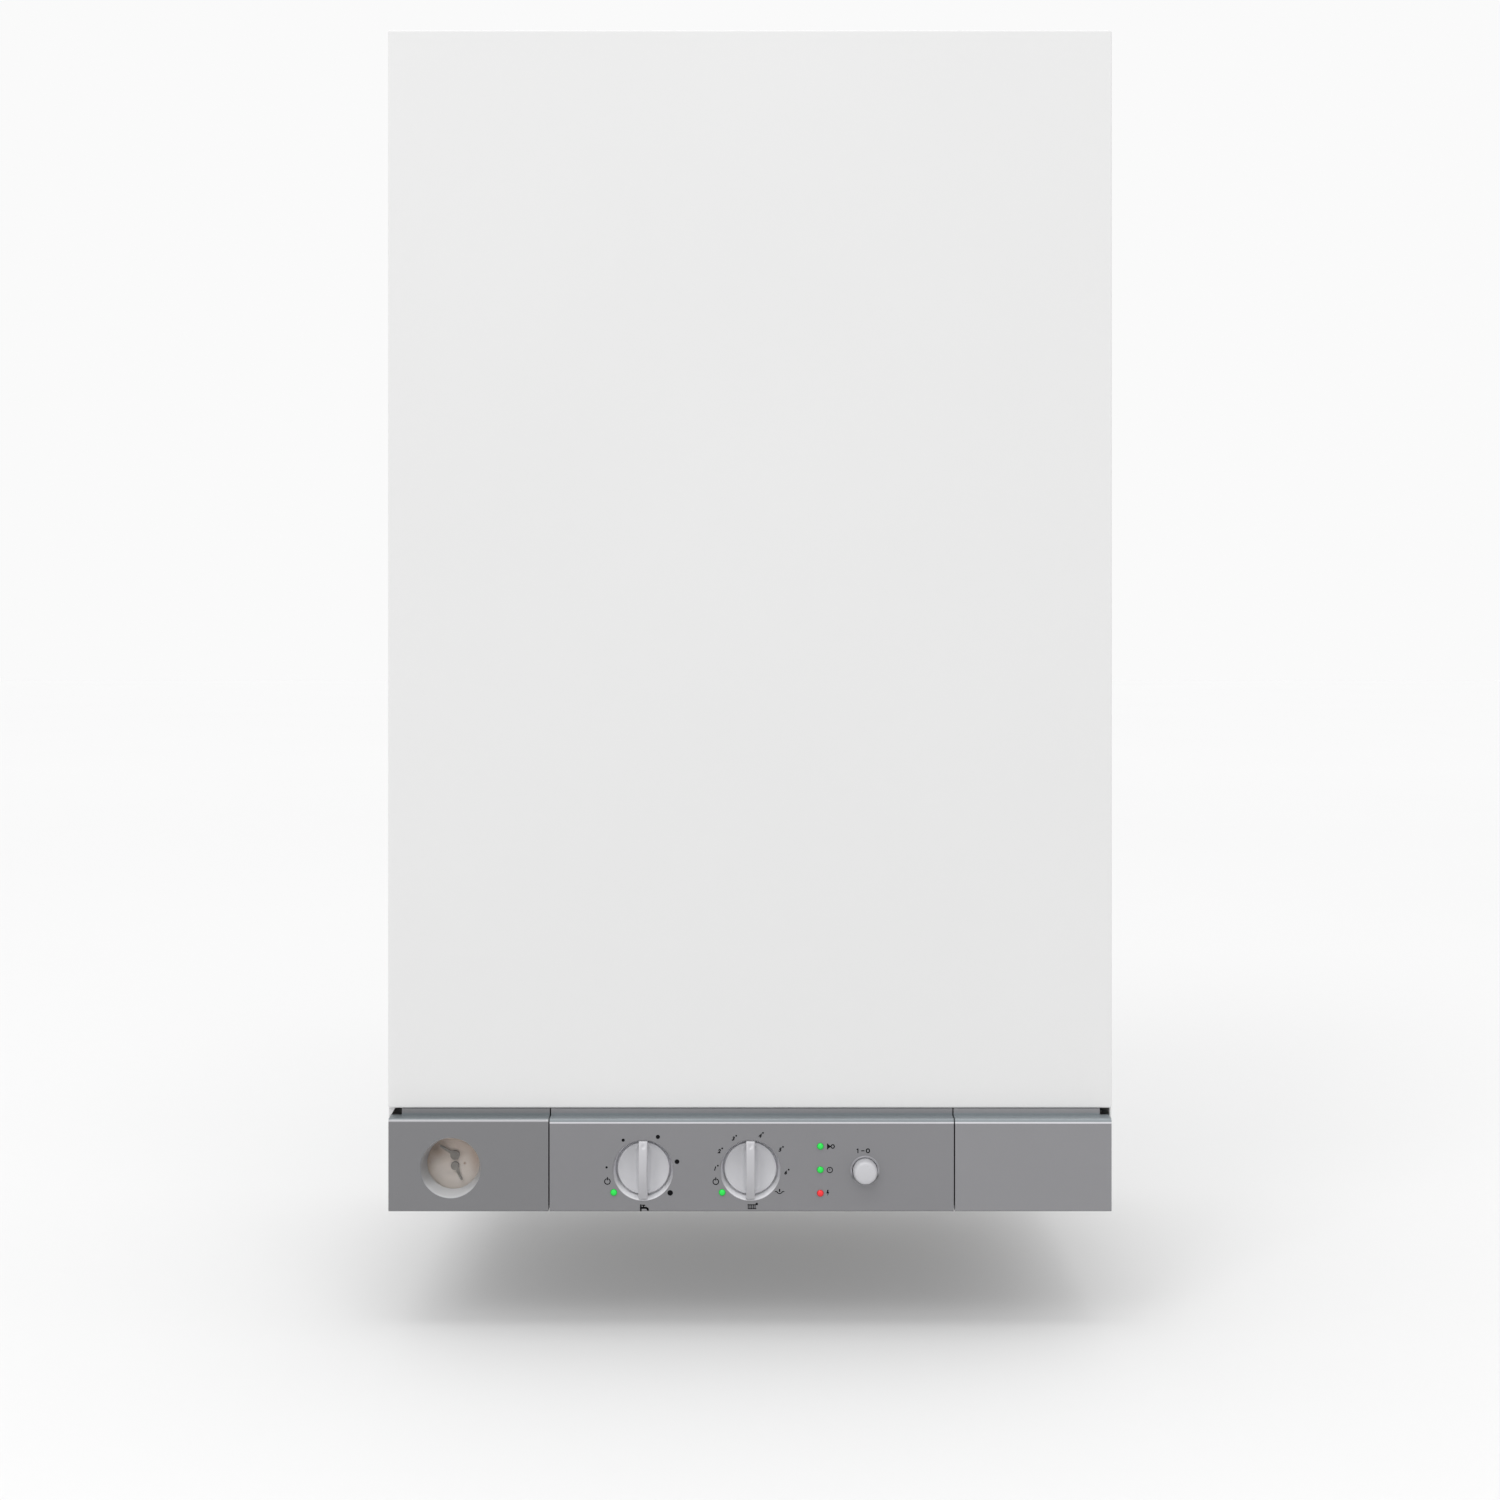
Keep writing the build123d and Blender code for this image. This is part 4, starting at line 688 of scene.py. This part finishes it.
for node, kx in (("hot_water_knob", -66.0), ("heating_knob", 0.3)):
    spindle = lathe([(0, -347.0), (3.0, -347.0), (3.0, -332.3), (2.7, -332.0), (0, -332.0)], kx, KNOB_Z, 48)
    v, f = merged([knob_disc(kx), knob_bar(kx), spindle])
    o = mesh_object(node + "_moulding", v, f, KNOB, angle=50)
    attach(o, node)
    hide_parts(node)

# ------------------------------------------------------------------ power button
bx, bz = 71.0, 27.4
prof = [(0, -362.4), (1.5, -362.37), (3.0, -362.27), (4.4, -362.08), (5.5, -361.85), (6.1, -361.6), (6.55, -361.2), (6.9, -360.6), (7.15, -359.8), (7.33, -358.9), (7.5, -357.2), (7.5, -349.4),
        (7.35, -349.1), (7.1, -349.0), (4.2, -349.0), (4.2, -336.0), (3.8, -335.5), (0, -335.5)]
v, f = lathe(prof, bx, bz, 160)
o = mesh_object("power_button_cap", v, f, BUTTON, angle=50)
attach(o, "power_button")
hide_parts("power_button")

# ------------------------------------------------------------------ indicator lights
GREEN = [(-84.1, 14.0), (-17.2, 14.0), (43.4, 42.5), (43.4, 28.0)]
dome = [(0, -356.35)] + [(2.1 * math.sin(a), -355.0 - 1.35 * math.cos(a)) for a in [math.pi / 2 * k / 12 for k in range(1, 13)]] + [(2.1, -341.0), (1.9, -340.6), (1.2, -340.5), (1.2, -330.8), (1.0, -330.6), (0, -330.6)]
v, f = merged([lathe(dome, x, z, 64) for x, z in GREEN])
o = mesh_object("indicator_green", v, f, LAMP_G, angle=50)
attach(o, "control_unit")
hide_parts("indicator_lights")
v, f = lathe(dome, 43.4, 13.5, 64)
o = mesh_object("indicator_red", v, f, LAMP_R, angle=50)
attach(o, "control_unit")
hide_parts("indicator_lights")

# ------------------------------------------------------------------ gauge dial
v, f = lathe([(0, -336.12), (6, -336.12), (12, -336.12), (17.2, -336.12), (17.5, -336.1), (17.6, -336.02)], -184.9, 29.1, 96)
o = mesh_object("gauge_dial", v, f, DIAL, angle=40)
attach(o, "control_unit")

# ------------------------------------------------------------------ printed marks
PRINT_Y = -355.035
KPX = 0.61725


def px(u, w):
    return (u - 750.0) * KPX, 367.0 - (w - 620.5) * KPX


def flat_poly(points, depth=0.035):
    """A thin printed shape from an outline of (x, zb) points, as a closed prism proud of the strip's face."""
    n = len(points)
    v = [P(x, -355.0 + 0.01, z) for x, z in points] + [P(x, -355.0 - depth, z) for x, z in points]
    f = [tuple(range(n)), tuple(reversed(range(n, 2 * n)))] + [(k, (k + 1) % n, n + (k + 1) % n, n + k) for k in range(n)]
    return v, f


def dot(cx, cz, r, n=28):
    return flat_poly([(cx + r * math.cos(2 * math.pi * k / n), cz + r * math.sin(2 * math.pi * k / n)) for k in range(n)])


def stroke(points, w):
    """A line of even width through the points, as a row of small quads with round joints."""
    parts = []
    for (x0, z0), (x1, z1) in zip(points, points[1:]):
        d = math.hypot(x1 - x0, z1 - z0) or 1e-9
        nx, nz = -(z1 - z0) / d * w / 2, (x1 - x0) / d * w / 2
        parts.append(flat_poly([(x0 + nx, z0 + nz), (x1 + nx, z1 + nz), (x1 - nx, z1 - nz), (x0 - nx, z0 - nz)]))
    for x, z in points:
        parts.append(dot(x, z, w / 2, 12))
    return parts


def arc(cx, cz, r, a0, a1, n=24):
    return [(cx + r * math.cos(math.radians(a0 + (a1 - a0) * k / n)), cz + r * math.sin(math.radians(a0 + (a1 - a0) * k / n))) for k in range(n + 1)]


def glyph(text, cx, cz, height, shear=0.0, bold=0.0):
    cu = bpy.data.curves.new("glyph", "FONT")
    cu.body = text
    cu.size = 1.0
    cu.align_x = "CENTER"
    cu.offset = bold
    cu.resolution_u = 4
    o = bpy.data.objects.new("glyph", cu)
    bpy.context.scene.collection.objects.link(o)
    bpy.context.view_layer.update()
    me = bpy.data.meshes.new_from_object(o.evaluated_get(bpy.context.evaluated_depsgraph_get()))
    xs = [p.co.x for p in me.vertices]
    ys = [p.co.y for p in me.vertices]
    mx, my, h = (min(xs) + max(xs)) / 2, (min(ys) + max(ys)) / 2, max(ys) - min(ys)
    k = height / h
    pts = [((p.co.x - mx) * k + shear * (p.co.y - my) * k + cx, (p.co.y - my) * k + cz) for p in me.vertices]
    verts = [P(x, -355.0 - 0.035, z) for x, z in pts]
    faces = [tuple(q.vertices) for q in me.polygons]
    bpy.data.objects.remove(o)
    bpy.data.curves.remove(cu)
    bpy.data.meshes.remove(me)
    return verts, faces


marks = []
for (u, w), r in zip([(606.6, 1167.3), (623.2, 1140.1), (657.9, 1136.8), (677.0, 1161.6), (670.2, 1192.8)], [1.15, 1.6, 2.1, 2.35, 2.75]):
    marks.append(dot(*px(u, w), r * KPX))
for n, (u, w) in zip("123456", [(715.3, 1168.2), (719.6, 1150.9), (733.6, 1138.3), (760.4, 1135.4), (780.4, 1149.4), (786.1, 1172.2)]):
    x, z = px(u, w)
    marks.append(glyph(n, x - 0.1, z - 0.1, 2.6, shear=0.28, bold=0.055))
    marks.append(dot(x + 1.6, z + 1.6, 0.55, 16))
for u, w in ((607.4, 1181.1), (715.8, 1181.3)):      # stand-by sign: open ring with a bar
    x, z = px(u, w)
    marks += stroke(arc(x, z - 0.2, 1.72, 112, 428), 0.58)
    marks += stroke([(x, z + 0.8), (x, z + 2.3)], 0.62)
x, z = px(644.4, 1208.2)                                # water tap
z += 0.25
marks += stroke([(x - 2.2, z - 1.75), (x - 2.2, z + 1.8)], 0.95)
marks += stroke([(x - 2.2, z + 0.05), (x + 1.0, z + 0.05), (x + 1.9, z - 0.45), (x + 2.2, z - 1.25)], 1.25)
marks += stroke([(x - 0.5, z + 0.4), (x - 0.5, z + 1.5)], 0.75)
marks += stroke([(x - 1.2, z + 1.65), (x + 0.25, z + 1.65)], 0.7)
x, z = px(752.0, 1206.4)                                # radiator
for k in range(5):
    marks += stroke([(x - 2.3 + 1.05 * k, z - 1.45), (x - 2.3 + 1.05 * k, z + 1.25)], 0.52)
marks += stroke([(x - 2.6, z + 1.0), (x + 2.1, z + 1.0)], 0.5)
marks += stroke([(x - 2.4, z - 1.25), (x + 2.5, z - 1.25)], 0.5)
marks.append(dot(x + 2.95, z + 1.55, 0.78, 20))
x, z = px(779.6, 1191.6)                                # sweep sign: open cup with a centre tick
marks += stroke(arc(x, z + 0.6, 1.75, 200, 340, 14), 0.55)
marks += stroke([(x - 2.7, z + 0.1), (x - 1.65, z)], 0.55)
marks += stroke([(x + 2.7, z + 0.1), (x + 1.65, z)], 0.55)
marks += stroke([(x, z + 1.4), (x, z + 0.2)], 0.8)
x, z = px(830.9, 1146.4)                                # burner flame beside a nozzle
marks += stroke([(x - 2.1, z - 1.6), (x - 2.1, z + 1.6)], 0.6)
marks.append(flat_poly([(x - 1.9, z - 1.5), (x + 0.3, z), (x - 1.9, z + 1.5)]))
marks += stroke([(x - 0.1, z), (x + 0.7, z + 1.05), (x + 1.7, z + 1.0), (x + 2.2, z), (x + 1.7, z - 1.0), (x + 0.7, z - 1.05), (x - 0.1, z)], 0.6)
x, z = px(829.8, 1169.9)                                # clock
marks += stroke(arc(x, z, 1.65, 0, 360, 30), 0.52)
marks += stroke([(x, z + 0.9), (x, z)], 0.42)
x, z = px(827.7, 1192.7)                                # fault bolt
marks.append(flat_poly([(x - 0.25, z + 1.8), (x + 0.55, z + 1.8), (x + 0.3, z + 0.45), (x + 0.95, z + 0.45), (x - 0.2, z - 2.0), (x - 0.05, z - 0.35), (x - 0.85, z - 0.35)]))
marks += stroke([(px(857.6, 0)[0] - 0.35, px(0, 1150.7)[1] + 0.85), (px(857.6, 0)[0] + 0.2, px(0, 1150.7)[1] + 1.15), (px(857.6, 0)[0] + 0.2, px(0, 1150.7)[1] - 1.25)], 0.6)
marks += stroke([(px(861.6, 1150.7)[0], px(0, 1150.7)[1]), (px(864.0, 1150.7)[0], px(0, 1150.7)[1])], 0.6)
x, z = px(867.9, 1150.7)
marks += stroke([(x + 1.0 * math.cos(a), z + 1.2 * math.sin(a)) for a in [2 * math.pi * k / 20 for k in range(21)]], 0.62)
v, f = merged(marks)
o = mesh_object("printed_marks", v, f, MARK, smooth=False)
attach(o, "control_unit")

# ------------------------------------------------------------------ fixings and union nuts
AXES = {"X": (Vector((1, 0, 0)), Vector((0, 1, 0)), Vector((0, 0, 1))), "-Y": (Vector((0, -1, 0)), Vector((1, 0, 0)), Vector((0, 0, 1))), "Z": (Vector((0, 0, 1)), Vector((1, 0, 0)), Vector((0, 1, 0)))}


def rings_to_mesh(rows):
    """Closed skin through rings of equal count; a ring may also be a single point."""
    verts, faces, idx = [], [], []
    for row in rows:
        idx.append(list(range(len(verts), len(verts) + len(row))))
        verts += row
    for a, b in zip(idx, idx[1:]):
        n = max(len(a), len(b))
        for k in range(n):
            q = (k + 1) % n
            if len(a) == 1:
                faces.append((a[0], b[k], b[q]))
            elif len(b) == 1:
                faces.append((a[k], a[q], b[0]))
            else:
                faces.append((a[k], a[q], b[q], b[k]))
    return verts, faces


def hex_radius(a, flats, round_r):
    """Distance from the axis at angle a for a hexagon across flats, cut by a round chamfer."""
    t = (a + math.pi / 6) % (math.pi / 3) - math.pi / 6
    return min(flats / 2 / math.cos(t), round_r)


def turned(origin, axis, profile, flats=None, segs=48):
    """Rings about an axis from a point in millimetres: profile is (height along the axis, radius[, hexagonal])."""
    u, e1, e2 = AXES[axis]
    o = P(*origin)
    rows = []
    for item in profile:
        h, r = item[0], item[1]
        if r < 1e-6:
            rows.append([o + u * (h / 1000.0)])
            continue
        row = []
        for k in range(segs):
            a = 2 * math.pi * k / segs
            rr = hex_radius(a, flats, r) if len(item) > 2 and flats else r
            row.append(o + u * (h / 1000.0) + (e1 * math.cos(a) + e2 * math.sin(a)) * (rr / 1000.0))
        rows.append(row)
    return rings_to_mesh(rows)


def washer_screw(origin, axis, r, flats):
    """Sheet-metal screw: washer collar, hexagon head with a dished top."""
    return turned(origin, axis, [(-0.3, 0), (-0.3, r * 0.9), (0.35, r), (0.75, r * 0.96), (0.95, flats * 0.60), (1.0, flats * 0.58, 1), (flats * 0.42, flats * 0.58, 1), (flats * 0.50, flats * 0.50, 1), (flats * 0.50, flats * 0.34), (flats * 0.38, flats * 0.26), (flats * 0.36, 0)], flats)


def socket_screw(origin, axis, r):
    """Cylinder-head screw with a hexagon socket."""
    return turned(origin, axis, [(-0.5, 0), (-0.5, r * 0.96), (0, r), (r * 1.35, r), (r * 1.5, r * 0.88), (r * 1.5, r * 0.56), (r * 1.48, r * 0.5, 1), (r * 0.75, r * 0.5, 1), (r * 0.6, 0)], r * 0.98)


def union_nut(origin, axis, flats, length, bore):
    """Hexagon union nut, chamfered at both ends, bored for its pipe."""
    big, small = flats / 2 / math.cos(math.pi / 6), flats / 2
    prof = [(0, bore), (0, small * 0.97), (0.4, small * 1.02, 1), (1.6, big, 1), (length * 0.66, big, 1), (length * 0.74, small * 1.0, 1), (length * 0.80, small * 0.90), (length, small * 0.82), (length, bore), (0, bore)]
    return turned(origin, axis, prof, flats, 72)


def add_piece(name, parts, mat, body, angle=30.0):
    v, f = merged(parts)
    o = mesh_object(name, v, f, mat, angle=angle)
    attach(o, body)
    return o


SCREW = surface("zinc_plated_screw", (0.55, 0.555, 0.57), 0.28, metallic=1.0, mottle=0.05, mottle_scale=200, dr=0.06, grain=(2500, 0.1, 0.0001))
heads = []
for a in (45, 135, 225, 315):
    t = math.radians(a)
    heads.append(washer_screw((-23.0 + 38 * math.cos(t), -206.0, 645.0 + 38 * math.sin(t)), "-Y", 3.9, 5.5))
for a in (12, 72, 165, 200, 262, 338):
    t = math.radians(a)
    heads.append(washer_screw((-23.0 + 50.5 * math.cos(t), -196.0, 645.0 + 50.5 * math.sin(t)), "-Y", 3.0, 4.2))
for x in (-42.5, -11.5, 21.5, 38.5):
    heads.append(washer_screw((x, -288.0, 346.0), "-Y", 3.2, 4.5))
for sx in (-1, 1):
    for zb in (352.0, 416.0, 480.0):
        heads.append(washer_screw((sx * 140.5, -288.0, zb), "-Y", 3.6, 5.0))
for x, zb in ((74.0, 617.5), (116.0, 666.5)):
    heads.append(washer_screw((x, -262.0, zb), "-Y", 3.0, 4.2))
for a in (30, 150, 205, 335):
    t = math.radians(a)
    heads.append(washer_screw((62.0 * math.cos(t), -170.0 + 62.0 * math.sin(t), 738.5), "Z", 3.8, 5.5))
add_piece("sheet_metal_screws", heads, SCREW, "casing")
add_piece("top_panel_screws", [washer_screw((sx * 207.0, y, 734.0), "Z", 4.2, 6.0) for sx in (-1, 1) for y in (-38.0, -268.0)], SCREW, "casing")
bolts = []
for a in (45, 135, 225, 315):
    t = math.radians(a)
    bolts.append(socket_screw((140.0 + 42.6 * math.cos(t), -158.0, 160.0 + 42.6 * math.sin(t)), "-Y", 3.1))
for sx in (-1, 1):
    for zb in (97.0, 141.0):
        bolts.append(socket_screw((sx * 23.0, -190.0, zb), "-Y", 2.5))
for sx in (-1, 1):
    for zb in (103.5, 140.5):
        bolts.append(socket_screw((-140.0 + sx * 17.5, -206.0, zb), "-Y", 1.9))
add_piece("socket_head_screws", bolts, SCREW, "casing")

nuts = [union_nut((-140.0, -120.0, 165.8), "Z", 29.0, 15.0, 9.05), union_nut((140.0, -120.0, 215.8), "Z", 29.0, 15.0, 9.05),
        union_nut((155.5, -120.0, 523.0), "X", 25.0, 13.0, 9.25), union_nut((0.0, -168.0, 151.0), "Z", 27.0, 13.0, 7.55), union_nut((-114.2, -120.0, 147.0), "X", 22.5, 12.0, 8.05),
        union_nut((-70.0, -120.0, 74.8), "Z", 23.5, 12.0, 8.05)]
v, f = union_nut((-155.5, -272.0, 523.0), "X", 25.0, 13.0, 9.25)
nuts.append(([Vector((2 * P(-155.5, 0, 0).x - q.x, q.y, q.z)) for q in v], f))
v, f = union_nut((0.0, -295.2, 301.2), "Z", 21.0, 12.0, 7.55)
nuts.append(([Vector((q.x, q.y, 2 * P(0, 0, 301.2).z - q.z)) for q in v], f))
v, f = union_nut((112.2, -137.0, 90.0), "X", 20.0, 10.0, 7.55)
nuts.append(([Vector((2 * P(112.2, 0, 0).x - q.x, q.y, q.z)) for q in v], f))
for x, zb in ((-70.0, 108.0), (70.0, 108.0), (-70.0, 147.0), (70.0, 147.0)):
    nuts.append(union_nut((x, -96.0, zb), "-Y", 24.0, 12.5, 8.05))
add_piece("union_nuts", nuts, BRASS, "casing")


def bead(x0, x1, zb, half, proud, y):
    """Pressed stiffening bead: half-round ridge with rounded ends on a sheet facing the front."""
    rows = []
    n, m = 60, 12
    for i in range(n + 1):
        x = x0 + (x1 - x0) * (0.5 - 0.5 * math.cos(math.pi * i / n))
        e = min(1.0, min(x - x0, x1 - x) / (half * 1.2))
        w = math.sqrt(max(0.0, 1 - (1 - e) ** 2))
        row = []
        for k in range(m + 1):
            a = math.pi * k / m
            row.append(P(x, y - proud * w * math.sin(a) ** 1.4, zb + half * w * math.cos(a)))
        for k in range(1, m):
            a = math.pi * (m - k) / m
            row.append(P(x, y + 0.25, zb + half * w * math.cos(a)))
        rows.append(row)
    return rings_to_mesh(rows)


add_piece("chamber_beads", [bead(-118, 118, 392, 5.0, 2.0, -288.0), bead(-118, 118, 438, 5.0, 2.0, -288.0)], ALUMINISED, "casing", 60)
add_piece("exchanger_beads", [bead(-128, 128, 505, 3.2, 1.4, -290.0), bead(-128, 128, 541, 3.2, 1.4, -290.0)], COPPER, "casing", 60)

# ------------------------------------------------------------------ stage, light, camera
me = bpy.data.meshes.new("studio_floor")
S = 14.0
me.from_pydata([(-S, -S, 0), (S, -S, 0), (S, S, 0), (-S, S, 0)], [], [(0, 1, 2, 3)])
floor = bpy.data.objects.new("studio_floor", me)
floor.location = (0, 0, (-78.0) / 1000.0 - HANG)
bpy.context.scene.collection.objects.link(floor)
FLOOR = surface("studio_floor_pale", (0.64, 0.64, 0.64), 0.9, mottle=0.004, mottle_scale=1.0, spec=0.1)
FLOOR.node_tree.nodes["Principled BSDF"].inputs["Emission Color"].default_value = (1, 1, 1, 1)
fnt = FLOOR.node_tree
far = fnt.nodes.new("ShaderNodeVectorMath")
far.operation = "LENGTH"
fnt.links.new(coords(fnt), far.inputs[0])
glow = ramp(fnt, remap(fnt, far.outputs["Value"], 0.0, 1.0, 0.0, 16.0), [(d / 16.0, (g, g, g)) for d, g in ((0.6, 0.140), (1.65, 0.1655), (2.1, 0.170), (2.75, 0.175), (3.63, 0.186), (4.95, 0.200), (15.5, 0.211))])
fnt.links.new(glow, fnt.nodes["Principled BSDF"].inputs["Emission Strength"])
me.materials.append(FLOOR)

world = bpy.data.worlds.new("studio")
world.use_nodes = True
wnt = world.node_tree
bg = wnt.nodes["Background"]
wtc = wnt.nodes.new("ShaderNodeTexCoord")
wsep = wnt.nodes.new("ShaderNodeSeparateXYZ")
wnt.links.new(wtc.outputs["Generated"], wsep.inputs["Vector"])
sky = ramp(wnt, remap(wnt, wsep.outputs["Z"], 0.0, 1.0, 0.34, 1.0), [(0.0, (0.66, 0.66, 0.66)), (0.35, (0.70, 0.70, 0.70)), (1.0, (0.98, 0.98, 0.98))])
wnt.links.new(sky, bg.inputs["Color"])
bg.inputs["Strength"].default_value = 1.45
bpy.context.scene.world = world


def area(name, loc, target, size, power, colour=(1, 1, 1)):
    li = bpy.data.lights.new(name, "AREA")
    li.shape = "RECTANGLE"
    li.size, li.size_y = size
    li.energy = power
    li.color = colour
    o = bpy.data.objects.new(name, li)
    o.location = loc
    o.rotation_euler = (Vector(target) - Vector(loc)).to_track_quat("-Z", "Y").to_euler()
    bpy.context.scene.collection.objects.link(o)
    return o


area("key_upper_left", (-2.1, -4.0, 3.6), (0.0, -0.3, -0.4), (1.5, 1.5), 38.0)
area("overhead_front", (-0.10, -1.40, 1.85), (0.0, -0.35, -0.5), (1.6, 0.45), 10.5)

cam = bpy.data.cameras.new("photo_camera")
cam.lens = 50.2
cam.sensor_width = 36.0
cam.shift_y = -0.0863
cam.clip_start = 0.05
cam.clip_end = 60.0
co = bpy.data.objects.new("photo_camera", cam)
co.location = (0.0, -1.646, -0.323)
co.rotation_euler = (math.radians(90), 0, 0)
bpy.context.scene.collection.objects.link(co)
bpy.context.scene.camera = co
bpy.context.scene.view_settings.view_transform = "Standard"
bpy.context.scene.view_settings.look = "None"
